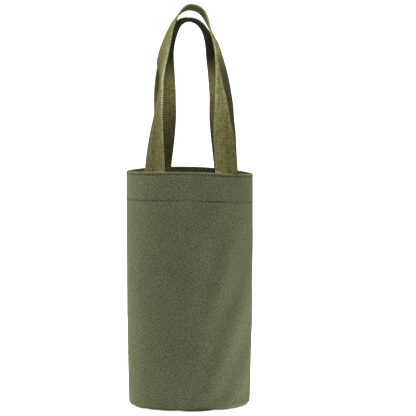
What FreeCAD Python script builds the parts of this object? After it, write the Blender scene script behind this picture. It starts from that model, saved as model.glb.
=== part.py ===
"""Round canvas bottle carrier with a turned hem and two webbing handles.

Millimetres. The origin is the centre of the base on the surface that it stands on,
+Z is up, the front is -Y and +X is to the right as seen from the front.
"""
import FreeCAD, Part
import math
import os

# Body: an upright round tube of canvas
mouth_diameter = 110.0
base_diameter = 105.0
body_height = 205.0
canvas = 1.0
ply_gap = 0.3
hem_depth = 29.0
straight_below_hem = 6.0
base_corner_radius = 4.0

# Seams: plain seams whose allowances stand inside, bound with folded tape
base_allowance = 9.0
side_allowance = 9.0
side_seam_angle = 12.0
seam_slit = 0.15
tape = 0.6
tape_leg = 5.0
tape_seat = 0.1

# Webbing handles
webbing_width = 20.0
webbing = 1.4
webbing_seat = 0.1
sewn_length = 28.0
strap_azimuth = 35.5
front_loop_height = 143.0
back_loop_height = 132.5
front_inward_lean = 9.5
back_inward_lean = -4.5
front_pull_spread = 25.0
back_pull_spread = 22.0
leg_pull_height = 85.0
crown_pull_spread = 24.0
strap_bend = 26.0
sections_per_leg = 16
sections_per_bend = 3

# How far each leg's outer face turns towards the outside of its loop's plane,
# in degrees, at shares of the way from the rim to the crown
front_left_turn = ((0.0, 55.0), (0.22, 18.0), (0.36, 16.0), (0.5, 22.0), (0.65, 15.0), (1.0, 0.0))
front_right_turn = ((0.0, 57.0), (0.2, 38.0), (0.36, 15.0), (0.5, 8.0), (0.7, 6.0), (1.0, 0.0))
back_turn = ((0.0, 55.0), (0.25, 84.0), (0.41, 58.0), (0.55, 36.0), (0.72, 16.0), (1.0, 0.0))

# Thread
stitch_pitch = 2.8
stitch_length = 2.1
thread = 0.4
thread_seat = 0.03
top_row_drop = 2.8
hem_row_drop = 26.0
tack_drop = 2.0
tack_margin = 1.5

# Places that follow from the sizes
mouth_radius = mouth_diameter / 2
base_radius = base_diameter / 2
bend_height = body_height - hem_depth - straight_below_hem
fold_outside = canvas + ply_gap / 2
hem_inside = mouth_radius - 2 * fold_outside
seam_radius = base_radius - base_corner_radius
disc_radius = seam_radius - ply_gap
fin_bottom = base_allowance + tape_seat + tape + ply_gap
fin_top = body_height - hem_depth - ply_gap
fin_thickness = 2 * canvas + seam_slit
fin_deep = canvas + side_allowance
half_width = webbing_width / 2
seat_face = math.sqrt((hem_inside - webbing_seat) ** 2 - half_width**2)
seat_middle = seat_face - webbing / 2
seat_spread = seat_middle * math.sin(math.radians(strap_azimuth))
seat_depth = seat_middle * math.cos(math.radians(strap_azimuth))
FRONT = -1
BACK = 1
LEFT = -1
RIGHT = 1

Vector = FreeCAD.Vector
ORIGIN = Vector(0, 0, 0)
UP = Vector(0, 0, 1)


def wall_radius(height):
    """Outside radius of the canvas: tapered from the base, straight under the mouth."""
    share = (height - base_corner_radius) / (bend_height - base_corner_radius)
    return base_radius + (mouth_radius - base_radius) * min(max(share, 0.0), 1.0)


def at(radius, height):
    """A point of a section in the XZ plane."""
    return Vector(radius, 0, height)


def line(start, end):
    """A straight edge."""
    return Part.LineSegment(start, end).toShape()


def arc(start, middle, end):
    """A round edge through three points."""
    return Part.Arc(start, middle, end).toShape()


def polygon(points):
    """A flat face with straight sides."""
    return Part.Face(Part.makePolygon(points + points[:1]))


def revolved(face):
    """A section turned once round the axis."""
    return face.revolve(ORIGIN, UP, 360)


def turned(shape, degrees):
    """A copy turned about the axis of the bag."""
    copy = shape.copy()
    copy.rotate(ORIGIN, UP, degrees)
    return copy


def radial_slab(deep, shallow, bottom, top, thickness):
    """An upright slab in the XZ plane between two insets from the outside of the wall."""
    heights = [bottom, bend_height, top]
    inner = [at(wall_radius(z) - deep, z) for z in heights]
    outer = [at(wall_radius(z) - shallow, z) for z in heights]
    slab = polygon(inner + outer[::-1]).extrude(Vector(0, thickness, 0))
    slab.translate(Vector(0, -thickness / 2, 0))
    return slab


def panel_section():
    """Canvas from the seam allowance, round the base corner, up the wall and over the hem."""
    fold_radius = mouth_radius - fold_outside
    fold_height = body_height - fold_outside
    inner_corner = base_corner_radius - canvas
    rise = base_corner_radius - math.sqrt(inner_corner**2 - canvas**2)
    slant = math.sqrt(0.5)
    corner = at(seam_radius, base_corner_radius)
    edges = [
        arc(
            at(seam_radius, 0),
            corner + at(base_corner_radius * slant, -base_corner_radius * slant),
            at(base_radius, base_corner_radius),
        ),
        line(at(base_radius, base_corner_radius), at(mouth_radius, bend_height)),
        line(at(mouth_radius, bend_height), at(mouth_radius, fold_height)),
        arc(at(mouth_radius, fold_height), at(fold_radius, body_height), at(hem_inside, fold_height)),
        line(at(hem_inside, fold_height), at(hem_inside, body_height - hem_depth)),
        line(at(hem_inside, body_height - hem_depth), at(hem_inside + canvas, body_height - hem_depth)),
        line(at(hem_inside + canvas, body_height - hem_depth), at(hem_inside + canvas, fold_height)),
        arc(
            at(hem_inside + canvas, fold_height),
            at(fold_radius, fold_height + ply_gap / 2),
            at(mouth_radius - canvas, fold_height),
        ),
        line(at(mouth_radius - canvas, fold_height), at(mouth_radius - canvas, bend_height)),
        line(at(mouth_radius - canvas, bend_height), at(base_radius - canvas, base_corner_radius)),
        arc(
            at(base_radius - canvas, base_corner_radius),
            corner + at(inner_corner * slant, -inner_corner * slant),
            at(seam_radius + canvas, rise),
        ),
        line(at(seam_radius + canvas, rise), at(seam_radius + canvas, base_allowance)),
        line(at(seam_radius + canvas, base_allowance), at(seam_radius, base_allowance)),
        line(at(seam_radius, base_allowance), at(seam_radius, 0)),
    ]
    return Part.Face(Part.Wire(edges))


def body_panel():
    """One piece of canvas rolled into a tube, with its side allowances standing inside."""
    tube = revolved(panel_section())
    fin = radial_slab(fin_deep, canvas / 2, fin_bottom, fin_top, fin_thickness)
    slit_start = base_radius - fin_deep - canvas
    slit_end = mouth_radius + canvas
    slit = Part.makeBox(
        slit_end - slit_start,
        seam_slit,
        body_height + 2 * canvas,
        Vector(slit_start, -seam_slit / 2, -canvas),
    )
    return turned(tube.fuse(fin).cut(slit), side_seam_angle)


def base_disc():
    """Round canvas base with its allowance turned up inside the body's."""
    points = [
        at(0, 0),
        at(disc_radius, 0),
        at(disc_radius, base_allowance),
        at(disc_radius - canvas, base_allowance),
        at(disc_radius - canvas, canvas),
        at(0, canvas),
    ]
    return revolved(polygon(points))


def base_seam_binding():
    """Tape folded over the two upright allowances of the base seam."""
    inner = disc_radius - canvas - tape_seat
    outer = seam_radius + canvas + tape_seat
    foot = base_allowance - tape_leg
    crown = base_allowance + tape_seat
    points = [
        at(inner - tape, foot),
        at(inner, foot),
        at(inner, crown),
        at(outer, crown),
        at(outer, foot),
        at(outer + tape, foot),
        at(outer + tape, crown + tape),
        at(inner - tape, crown + tape),
    ]
    return revolved(polygon(points))


def side_seam_binding():
    """Tape folded over the two allowances of the side seam."""
    mouth = fin_deep - tape_leg
    room = fin_thickness + 2 * tape_seat
    outside = radial_slab(fin_deep + tape_seat + tape, mouth, fin_bottom, fin_top, room + 2 * tape)
    inside = radial_slab(
        fin_deep + tape_seat, mouth - tape, fin_bottom - tape, fin_top + tape, room
    )
    return turned(outside.cut(inside), side_seam_angle)


def cubic(a, b, c, d, t):
    """A cubic curve from a to d, pulled by b and c, and its slope."""
    s = 1 - t
    value = a * s**3 + 3 * b * s * s * t + 3 * c * s * t * t + d * t**3
    slope = 3 * ((b - a) * s * s + 2 * (c - b) * s * t + (d - c) * t * t)
    return value, slope


def smooth_through(stations, t):
    """A smooth curve through (place, value) stations."""
    places = [place for place, _ in stations]
    values = [value for _, value in stations]
    last = len(stations) - 1
    k = next(i for i in range(last) if t <= places[i + 1] or i == last - 1)

    def slope(i):
        before = max(i - 1, 0)
        after = min(i + 1, last)
        return (values[after] - values[before]) / (places[after] - places[before])

    span = places[k + 1] - places[k]
    u = (t - places[k]) / span
    pull_start = values[k] + slope(k) * span / 3
    pull_end = values[k + 1] - slope(k + 1) * span / 3
    return cubic(values[k], pull_start, pull_end, values[k + 1], u)[0]


def rectangle(centre, across, face):
    """Cross-section of the webbing: across is its width, face is square to its outer face."""
    w = across * half_width
    n = face * (webbing / 2)
    corners = [centre - w - n, centre + w - n, centre + w + n, centre - w + n]
    return Part.makePolygon(corners + corners[:1])


class Handle:
    """One handle: its two legs rise from the rim and meet at the crown of a leaning loop."""

    def __init__(self, outward, height, lean, pull_spread, left_turn, right_turn):
        tilt = math.radians(lean)
        self.outward = outward
        self.height = height
        self.pull_spread = pull_spread
        self.rise = Vector(0, -outward * math.sin(tilt), math.cos(tilt))
        self.outside = Vector(0, outward * math.cos(tilt), math.sin(tilt))
        self.turns = {LEFT: left_turn, RIGHT: right_turn}
        self.start = self.share_at(strap_bend / math.cos(tilt))

    def climb(self, t):
        """Height of a leg along the loop's plane, and its slope."""
        return cubic(0, leg_pull_height, self.height, self.height, t)

    def share_at(self, height):
        """Share of the leg at which it has climbed to a height."""
        low = 0.0
        high = 1.0
        while high - low > 1e-9:
            middle = (low + high) / 2
            if self.climb(middle)[0] < height:
                low = middle
            else:
                high = middle
        return high

    def section(self, side, t):
        """The webbing's section on one leg, from the rim at 0 to the crown at 1."""
        spread, inward = cubic(seat_spread, self.pull_spread, crown_pull_spread, 0, t)
        climb, upward = self.climb(t)
        foot = Vector(side * spread, self.outward * seat_depth, body_height)
        away = Vector(side * upward, 0, 0) - self.rise * inward
        away.normalize()
        turn = math.radians(smooth_through(self.turns[side], t))
        face = away * math.cos(turn) + self.outside * math.sin(turn)
        across = self.outside * math.cos(turn) - away * math.sin(turn)
        return rectangle(foot + self.rise * climb, across, face)

    def seat(self, side, height):
        """The webbing's section where it lies flat against the inside of the hem."""
        azimuth = math.radians(strap_azimuth)
        face = Vector(side * math.sin(azimuth), self.outward * math.cos(azimuth), 0)
        across = Vector(-side * math.cos(azimuth), self.outward * math.sin(azimuth), 0)
        centre = Vector(side * seat_spread, self.outward * seat_depth, height)
        return rectangle(centre, across, face)

    def loop(self):
        """The free loop of webbing between the two bends at the rim."""
        step = (1 - self.start) / sections_per_leg
        shares = [self.start + step * k for k in range(sections_per_leg)]
        legs = [self.section(LEFT, t) for t in shares]
        legs.append(self.section(LEFT, 1.0))
        legs += [self.section(RIGHT, t) for t in reversed(shares)]
        return Part.makeLoft(legs, True, True)

    def end(self, side):
        """The sewn end of the webbing and the stretch above the rim that bends."""
        shares = [self.start * (k + 1) / sections_per_bend for k in range(sections_per_bend)]
        sections = [self.seat(side, body_height - sewn_length), self.seat(side, body_height)]
        sections += [self.section(side, t) for t in shares]
        return Part.makeLoft(sections, True, True)


def stitch_at(radius, height, degrees):
    """One stitch lying along the outside of a round wall."""
    corner = Vector(radius, -stitch_length / 2, height - thread / 2)
    bar = Part.makeBox(thread, stitch_length, thread, corner)
    return turned(bar, degrees)


def stitch_ring(radius, height):
    """A row of stitches all round the bag, on the outside of a wall of that radius."""
    count = round(2 * math.pi * radius / stitch_pitch)
    step = 360 / count
    start = side_seam_angle + step / 2
    return Part.makeCompound([stitch_at(radius, height, start + step * k) for k in range(count)])


def base_seam_stitches():
    """A row of stitches round the inner leg of the base binding."""
    radius = disc_radius - canvas - tape_seat - tape - thread_seat
    facing = radius * math.cos(stitch_length / radius)
    return stitch_ring(facing - thread, base_allowance - tape_leg / 2)


def side_seam_stitches():
    """A row of stitches up the binding of the side seam."""
    face = fin_thickness / 2 + tape_seat + tape + thread_seat
    length = fin_top - fin_bottom
    count = int(length / stitch_pitch)
    first = fin_bottom + (length - (count - 1) * stitch_pitch) / 2
    inset = fin_deep - tape_leg / 2
    bars = []
    for k in range(count):
        height = first + k * stitch_pitch
        corner = Vector(wall_radius(height) - inset, face, height - stitch_length / 2)
        bars.append(Part.makeBox(thread, thread, stitch_length, corner))
    return turned(Part.makeCompound(bars), side_seam_angle)


def strap_tack(outward, side):
    """A short second row of stitches over one sewn strap end, below the top row."""
    radius = mouth_radius + thread_seat
    reach = webbing_width - 2 * tack_margin
    count = int(reach / stitch_pitch)
    step = math.degrees(stitch_pitch / radius)
    middle = math.degrees(math.atan2(outward * seat_depth, side * seat_spread))
    height = body_height - top_row_drop - tack_drop
    shifts = [(k - (count - 1) / 2) * step for k in range(count)]
    return Part.makeCompound([stitch_at(radius, height, middle + shift) for shift in shifts])


front = Handle(
    FRONT, front_loop_height, front_inward_lean, front_pull_spread, front_left_turn, front_right_turn
)
back = Handle(BACK, back_loop_height, back_inward_lean, back_pull_spread, back_turn, back_turn)
outside_face = mouth_radius + thread_seat

pieces = {
    "body_panel": body_panel(),
    "base_disc": base_disc(),
    "base_seam_binding": base_seam_binding(),
    "side_seam_binding": side_seam_binding(),
    "front_handle_loop": front.loop(),
    "back_handle_loop": back.loop(),
    "top_edge_stitches": stitch_ring(outside_face, body_height - top_row_drop),
    "hem_stitches": stitch_ring(outside_face, body_height - hem_row_drop),
    "base_seam_stitches": base_seam_stitches(),
    "side_seam_stitches": side_seam_stitches(),
}
for handle_name, handle in (("front", front), ("back", back)):
    for side_name, side in (("left", LEFT), ("right", RIGHT)):
        pieces[f"{handle_name}_{side_name}_strap_end"] = handle.end(side)
        pieces[f"{handle_name}_{side_name}_strap_tack"] = strap_tack(handle.outward, side)

os.makedirs("parts", exist_ok=True)
for name, shape in pieces.items():
    shape.exportStep(f"parts/{name}.step")
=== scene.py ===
import math
from collections import namedtuple

import bmesh
import bpy
import numpy as np
from bpy.props import FloatProperty, FloatVectorProperty, IntProperty, PointerProperty
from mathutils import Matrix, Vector


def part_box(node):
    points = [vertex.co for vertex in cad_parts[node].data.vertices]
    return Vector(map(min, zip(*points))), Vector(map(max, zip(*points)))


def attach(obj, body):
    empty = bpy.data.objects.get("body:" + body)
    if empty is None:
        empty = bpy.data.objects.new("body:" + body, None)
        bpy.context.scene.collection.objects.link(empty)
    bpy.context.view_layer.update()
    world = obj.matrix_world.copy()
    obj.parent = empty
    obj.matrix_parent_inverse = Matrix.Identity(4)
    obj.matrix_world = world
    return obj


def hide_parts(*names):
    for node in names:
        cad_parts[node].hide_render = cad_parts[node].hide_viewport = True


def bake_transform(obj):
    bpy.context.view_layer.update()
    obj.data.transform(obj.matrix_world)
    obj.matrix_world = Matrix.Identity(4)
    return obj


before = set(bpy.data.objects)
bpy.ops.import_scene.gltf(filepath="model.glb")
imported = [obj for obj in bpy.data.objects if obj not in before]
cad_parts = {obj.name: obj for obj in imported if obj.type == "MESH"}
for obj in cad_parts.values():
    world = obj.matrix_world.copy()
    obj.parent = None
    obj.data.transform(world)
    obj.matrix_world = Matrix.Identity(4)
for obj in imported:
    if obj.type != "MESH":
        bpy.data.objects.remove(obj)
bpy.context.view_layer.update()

bl_info = {
    "name": "Canvas bottle carrier",
    "version": (1, 0, 0),
    "blender": (4, 5, 0),
    "location": "View3D > Sidebar > Carrier",
    "description": "Sews the cloth, tape, thread and webbing of a bottle carrier round its frame",
    "category": "Object",
}

MM = 0.001
FRONT, BACK = -1, 1
LEFT, RIGHT = -1, 1
FRONT_ANGLE = -math.pi / 2

# The canvas tube, its top corner read from the frame
PANEL_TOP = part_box("body_panel")[1]
MOUTH_RADIUS = round(PANEL_TOP.x, 4)
BODY_HEIGHT = round(PANEL_TOP.z, 4)
BASE_RADIUS = 52.5 * MM
BASE_CROWN = 0.5 * MM
CORNER = 4.0 * MM
CREASE = 0.6 * MM
PLY_GAP = 0.3 * MM
HEM_EDGE = BODY_HEIGHT - 29.0 * MM
BEND_HEIGHT = BODY_HEIGHT - 35.0 * MM

# The side seam: its directions, the slit between its allowances, how deep in the wall and how far over
# the base allowance they begin, the groove and puckers along it and how its allowances sway inside
SIDE_SEAM = math.radians(12.0)
SEAM_OUTWARD = np.array([math.cos(SIDE_SEAM), math.sin(SIDE_SEAM), 0.0])
SEAM_ASIDE = np.array([-math.sin(SIDE_SEAM), math.cos(SIDE_SEAM), 0.0])
SEAM_SLIT = 0.15 * MM
SEAM_ROOT, SEAM_FOOT = 0.6 * MM, 1.0 * MM
SEAM_GROOVE, SEAM_GROOVE_WIDTH = 0.55 * MM, 1.1 * MM
GROOVE_WAVER, GROOVE_WAVER_LENGTH = 0.12 * MM, 1.6 * MM
SEAM_PUCKER, SEAM_PUCKER_WIDTH, SEAM_PUCKER_LENGTH = 0.35 * MM, 7.0 * MM, 5.3 * MM
SWAY, SWAY_DEPTH, SWAY_LENGTH = 1.3 * MM, 10.0 * MM, 23.0 * MM
# What lies within this depth of the outside of the wall is its face
FACE_DEPTH = 0.4 * MM

# The base seam, and rows of stitches
ALLOWANCE = 9.0 * MM
SEAM_RADIUS = BASE_RADIUS - CORNER
TAPE_SEAT = 0.1 * MM
ROW_WIDTH = 0.9 * MM
TOP_ROW = BODY_HEIGHT - 2.7 * MM
HEM_ROW = BODY_HEIGHT - 25.0 * MM
TACK_ROW = BODY_HEIGHT - 2.0 * MM
RING_STITCHES = 123
BASE_STITCHES = 103
TACK_STITCHES = 6

# Ripples along the edges of the tape: round the base their count, depth and reach, and up the side seam
# their depth as a share of the tape's half width, their length and reach
BASE_RIPPLES, BASE_RIPPLE_DEPTH, BASE_RIPPLE_REACH = 37, 0.18 * MM, 2.0 * MM
SIDE_RIPPLE_SHARE, SIDE_RIPPLE_LENGTH, SIDE_RIPPLE_REACH = 0.1, 2.1 * MM, 1.5 * MM

# Handles: where their feet are sewn, how much lies in the hem and how high they bend at the rim
STRAP_AZIMUTH = math.radians(35.5)
SEWN_LENGTH = 28.0 * MM
WEBBING_SEAT = 0.1 * MM
STRAP_BEND = 26.0 * MM

# Points along a handle's leg and its sewn end, steps from its middle to its edge, rows at the hem
LEG_STATIONS = 260
TAIL_STATIONS = 24
CURL_STEPS = 20
HEM_ROWS = 40

# Soft waves of the wall: how many round the bag, depth, start and turn per metre of height
WAVES = (
    (2, 0.45 * MM, 0.4, 3.0),
    (3, 0.40 * MM, 1.9, -7.0),
    (5, 0.26 * MM, 0.7, 11.0),
    (8, 0.13 * MM, 2.6, -16.0),
    (13, 0.06 * MM, 4.2, 24.0),
)
# Puckers that the base seam draws into the lower edge: count, depth, start
PUCKERS = ((7, 0.26 * MM, 1.1), (11, 0.32 * MM, 0.3), (19, 0.18 * MM, 2.1), (31, 0.08 * MM, 4.0))
PUCKER_LIFT, PUCKER_REACH = 0.72 * MM, 6.0 * MM

# Heights on the wall: where it has gone slack, where the hem begins to hold it, where the belly begins
# to fade and the rim to dip, and how far up the base seam draws it in
SLACK_HEIGHT = 50.0 * MM
HOLD_HEIGHT = BEND_HEIGHT - 25.0 * MM
BELLY_HEIGHT = 60.0 * MM
DIP_HEIGHT = 30.0 * MM
GATHER_REACH = 9.0 * MM

# Lower edge of the wall: the heights of its roll, painted pale as a highlight, and of the painted shadow
# line under its front, where the roll has no highlight; and how far the scuffing at the base's own edge
# reaches
BASE_ROLL_HIGHLIGHT = (1.8 * MM, 4.2 * MM)
BASE_SHADOW_LINE = (0.9 * MM, 2.0 * MM)
SHADOW_FRONT_AT, SHADOW_FRONT_REACH = math.radians(-78.0), 0.24
BASE_WEAR = 2.0 * MM

# Dark marks of the canvas: how wide the darker lines at the rim and along the side seam and the painted
# shade in the rows of needle holes are, how far in from the face and under the hem the painted shade inside
# the mouth reaches, and the least radius of the wall
RIM_LINE, SEAM_LINE = 0.5 * MM, 0.8 * MM
HEM_HOLES, TOP_HOLES = 0.7 * MM, 0.8 * MM
MOUTH_DIM, MOUTH_FADE = 0.8 * MM, 20.0 * MM
WALL_FROM = 50.0 * MM

# Soft folds that slant down from the right side of the wall to its front. They rise and fade over
# the spans given round the bag from its front, and up the wall.
FOLD_DEPTH = 0.9 * MM
FOLD_SPACING = 26.0 * MM
FOLD_START = -8.0 * MM
FOLD_SLANT = 0.4
FOLD_STEEPENS, FOLD_STEEPENS_OVER, FOLD_STEEPENS_BY = 110.0 * MM, 20.0 * MM, 0.28
FOLDS_ROUND = ((0.0, 25.0 * MM), (55.0 * MM, 92.0 * MM))
FOLDS_UP = ((4.0 * MM, 18.0 * MM), (120.0 * MM, 168.0 * MM))

# One leg of a handle, from rim to crown. Turns: how far its outer face turns out of the loop's plane,
# in degrees. Drifts: how far it hangs to the right of an even loop, in millimetres. Cup: how far its
# edges fall back behind its middle. Slant: how far the twist runs along it for each step across it.
Leg = namedtuple("Leg", ("turns", "drifts", "cup", "slant"))
FRONT_LEGS = {
    LEFT: Leg(
        turns=((0.0, 60.0), (0.2, 22.0), (0.28, 13.0), (0.36, 6.0), (0.47, 25.0), (0.68, 12.0),
               (1.0, -3.0)),
        drifts=((0.0, -0.3), (0.1, -0.6), (0.26, 0.0), (0.36, 0.2), (0.45, -1.3), (0.57, 0.1), (0.68, 1.0),
                (0.83, 1.9), (1.0, 0.8)),
        cup=1.0 * MM, slant=0.0),
    RIGHT: Leg(
        turns=((0.0, 74.0), (0.16, 74.0), (0.24, 69.0), (0.33, 31.0), (0.42, 23.0), (0.5, 17.0), (0.6, 9.0),
               (0.68, 1.0), (0.8, -5.0), (1.0, -3.0)),
        drifts=((0.0, 2.0), (0.09, 1.8), (0.18, 2.7), (0.27, 5.1), (0.36, 5.3), (0.46, 4.4), (0.55, 3.0),
                (0.65, 0.5), (0.83, 1.2), (1.0, 0.8)),
        cup=0.0, slant=3.8),
}
BACK_LEGS = {
    LEFT: Leg(
        turns=((0.0, 57.0), (0.25, 82.0), (0.41, 54.0), (0.55, 27.0), (0.72, 18.0), (1.0, 2.0)),
        drifts=((0.0, 4.6), (0.18, 4.3), (0.28, 2.7), (0.41, 0.9), (0.55, 0.4), (0.72, 0.1), (1.0, -1.0)),
        cup=0.4 * MM, slant=0.0),
    RIGHT: Leg(
        turns=((0.0, 60.0), (0.25, 84.0), (0.4, 56.0), (0.5, 43.0), (0.6, 26.0), (0.72, 12.0), (1.0, 2.0)),
        drifts=((0.0, 1.4), (0.18, 1.3), (0.3, 3.0), (0.41, 2.2), (0.55, 1.0), (0.72, -0.2), (1.0, -1.0)),
        cup=0.4 * MM, slant=0.0),
}

# How far along from each end of a handle its cup begins
CUP_FROM_TAIL = 40.0 * MM
# Heights over the rim on a handle: where it twists, where its inside is fully painted in shade, where it
# bends over at the crown, where it lies in the painted shade of the mouth, where a slanting twist flattens
# out and its painted crest highlight begins, and where its ridge and its curl are painted pale as
# highlights
TWISTED = ((0.0, 15.0 * MM), (95.0 * MM, 125.0 * MM))
INNER_SHADE_SPAN = (74.0 * MM, 104.0 * MM)
CROWN = (100.0 * MM, 135.0 * MM)
SHADED = (10.0 * MM, 75.0 * MM)
TWIST_FLATTENS = (80.0 * MM, 118.0 * MM)
CREST_FROM = (30.0 * MM, 60.0 * MM)
RIDGE_LIGHT_AT, RIDGE_LIGHT_REACH = 82.0 * MM, 24.0 * MM
PALE_AT, PALE_REACH = 85.0 * MM, 25.0 * MM

# Bands along the edges of the webbing, from how far in they begin to where they are full: the ridge that is
# painted pale as a highlight and partly scuffed, the far edge with a painted rim highlight, the selvage
# where the ribs slant, and the cord that stands over the face
RIDGE_BAND = (1.8 * MM, 0.8 * MM)
FAR_BAND = (1.3 * MM, 0.5 * MM)
SELVAGE_BAND = (2.0 * MM, 1.0 * MM)
CORD_BAND = (1.2 * MM, 0.4 * MM)

# Place of the camera, the point it looks at, and the points that the lights face
CAMERA_PLACE = (0.0, -2.030, 0.297)
CAMERA_AIM = (0.016, 0.0, 0.172)
MIDDLE = (0.0, 0.0, 0.15)
LOW = (0.0, 0.0, 0.04)
FOOT = (0.0, 0.0, 0.003)

# Soft lights round the bag, and light off the table beside it. Power names a setting of the stage.
Lamp = namedtuple("Lamp", ("name", "power", "place", "target", "size"))
LAMPS = (
    Lamp("left_softbox", "left", (-2.2, 1.0, 1.7), MIDDLE, (1.5, 1.5)),
    Lamp("right_softbox", "right", (2.4, 1.0, 0.9), MIDDLE, (1.2, 1.2)),
    Lamp("front_softbox", "front", (-0.2, -1.4, 2.9), MIDDLE, (1.2, 1.0)),
    Lamp("left_bounce", "left_bounce", (-0.21, 0.04, 0.005), LOW, (0.1, 0.1)),
    Lamp("right_bounce", "right_bounce", (0.21, -0.06, 0.005), LOW, (0.1, 0.1)),
    Lamp("front_bounce", "front_bounce", (0.0, -0.12, 0.003), FOOT, (0.12, 0.03)),
)

# Limits and units that properties of one kind share
LENGTH = {"min": 0.1 * MM, "unit": "LENGTH", "precision": 5}
LEAN = {"subtype": "ANGLE", "unit": "ROTATION"}
COLOUR = {"subtype": "COLOR", "size": 3, "min": 0.0, "max": 1.0}
POWER = {"min": 0.0, "unit": "POWER"}


class CanvasSettings(bpy.types.PropertyGroup):
    """The cloth of the body and base"""

    thickness: FloatProperty(
        name="Thickness", description="Thickness of one ply of canvas", default=1.0 * MM, **LENGTH)
    warp_pitch: FloatProperty(
        name="Warp pitch", description="Distance between the upright yarns", default=1.65 * MM, **LENGTH)
    weft_pitch: FloatProperty(
        name="Weft pitch", description="Distance between the yarns that run round the bag",
        default=1.7 * MM, **LENGTH)
    rim_dip: FloatProperty(
        name="Rim dip", description="How far the rim drops at its right side and rises at its left",
        default=1.25 * MM, **LENGTH)
    rim_sag: FloatProperty(
        name="Rim sag", description="How far the rim sags at its sides and is held up at front and back",
        default=1.2 * MM, **LENGTH)
    base_gather: FloatProperty(
        name="Base gather", description="How far the base seam draws the right side of the wall in",
        default=0.6 * MM, **LENGTH)
    belly: FloatProperty(
        name="Belly", description="How far the lower left of the wall stands out",
        default=1.0 * MM, **LENGTH)
    stitch_groove: FloatProperty(
        name="Stitch groove", description="How deep a row of stitches pulls into the cloth",
        default=0.32 * MM, **LENGTH)
    light: FloatVectorProperty(
        name="Yarn", description="Colour on the crowns of the yarns",
        default=(0.128, 0.137, 0.077), **COLOUR)
    dark: FloatVectorProperty(
        name="Between yarns", description="Colour in the gaps of the weave",
        default=(0.040, 0.043, 0.022), **COLOUR)
    # Paler colour: painted highlight on folds that face the light and on the roll of the lower edge, and
    # scuffing at the base's edge
    worn_and_lit: FloatVectorProperty(
        name="Worn and lit edge", description="Colour where folds have rubbed",
        default=(0.19, 0.195, 0.115), **COLOUR)
    # Darker colour: painted shade in needle holes, inside the mouth, in fold hollows and under the front of
    # the lower edge, and darker lines at the rim and side seam
    soiled_and_shaded: FloatVectorProperty(
        name="Soil and shade", description="Colour in needle holes, in the seams and inside the mouth",
        default=(0.014, 0.014, 0.008), **COLOUR)


class WebbingSettings(bpy.types.PropertyGroup):
    """The two handles"""

    width: FloatProperty(
        name="Width", description="Width of the webbing", default=20.0 * MM, **LENGTH)
    thickness: FloatProperty(
        name="Thickness", description="Thickness of the webbing", default=1.4 * MM, **LENGTH)
    front_height: FloatProperty(
        name="Front height", description="Height of the front loop along its own plane",
        default=143.3 * MM, **LENGTH)
    back_height: FloatProperty(
        name="Back height", description="Height of the back loop along its own plane",
        default=132.5 * MM, **LENGTH)
    front_lean: FloatProperty(
        name="Front lean", description="How far the front loop leans in over the mouth",
        default=math.radians(9.5), **LEAN)
    back_lean: FloatProperty(
        name="Back lean", description="How far the back loop leans in over the mouth",
        default=math.radians(-4.5), **LEAN)
    selvage: FloatProperty(
        name="Selvage", description="How far the corded edges stand over the face",
        default=0.22 * MM, **LENGTH)
    rib_pitch: FloatProperty(
        name="Rib pitch", description="Distance between the ribs across the webbing",
        default=2.1 * MM, **LENGTH)
    rib_depth: FloatProperty(
        name="Rib depth", description="Height of a rib over the groove beside it",
        default=0.34 * MM, **LENGTH)
    column_width: FloatProperty(
        name="Column width", description="Width of one column of warp yarns", default=1.7 * MM, **LENGTH)
    light: FloatVectorProperty(
        name="Rib", description="Colour on the crowns of the ribs",
        default=(0.118, 0.113, 0.038), **COLOUR)
    dark: FloatVectorProperty(
        name="Between ribs", description="Colour in the grooves of the webbing",
        default=(0.018, 0.017, 0.005), **COLOUR)
    # Paler colour: painted highlights on the ridge, crest, curl, crown underside and far edge, and scuffing
    # on the ridge
    worn_and_lit: FloatVectorProperty(
        name="Rubbed and lit edge", description="Colour along the rubbed edges",
        default=(0.38, 0.365, 0.18), **COLOUR)
    # Colour of the painted shade inside the loops, near their feet and behind the crest of a slanting twist
    painted_shade: FloatVectorProperty(
        name="Painted shade", description="Colour of the painted shade inside the loops, at their feet and behind folds",
        default=(0.008, 0.006, 0.003), **COLOUR)


class TapeSettings(bpy.types.PropertyGroup):
    """The binding of the seams inside"""

    thickness: FloatProperty(
        name="Thickness", description="Thickness of the binding tape", default=0.6 * MM, **LENGTH)
    leg: FloatProperty(
        name="Leg", description="How far the folded tape reaches down each side of the allowances",
        default=5.0 * MM, **LENGTH)
    twill: FloatProperty(
        name="Twill", description="Distance between the slanting lines, along the tape",
        default=0.7 * MM, **LENGTH)
    light: FloatVectorProperty(
        name="Twill line", description="Colour on the twill lines",
        default=(0.096, 0.100, 0.056), **COLOUR)
    dark: FloatVectorProperty(
        name="Between twill", description="Colour between the twill lines",
        default=(0.046, 0.048, 0.026), **COLOUR)


class ThreadSettings(bpy.types.PropertyGroup):
    """The sewing thread"""

    thickness: FloatProperty(
        name="Thickness", description="Thickness of the sewing thread", default=0.5 * MM, **LENGTH)
    length: FloatProperty(
        name="Stitch length", description="Length of thread that shows in one stitch",
        default=2.25 * MM, **LENGTH)
    seed: IntProperty(
        name="Seed", description="Seed of the small differences between stitches", default=7)
    seam: FloatVectorProperty(
        name="Seam thread", description="Colour of the thread in the rows",
        default=(0.075, 0.076, 0.042), **COLOUR)
    tack: FloatVectorProperty(
        name="Tack thread", description="Colour of the thread that tacks the straps",
        default=(0.14, 0.055, 0.024), **COLOUR)


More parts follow.
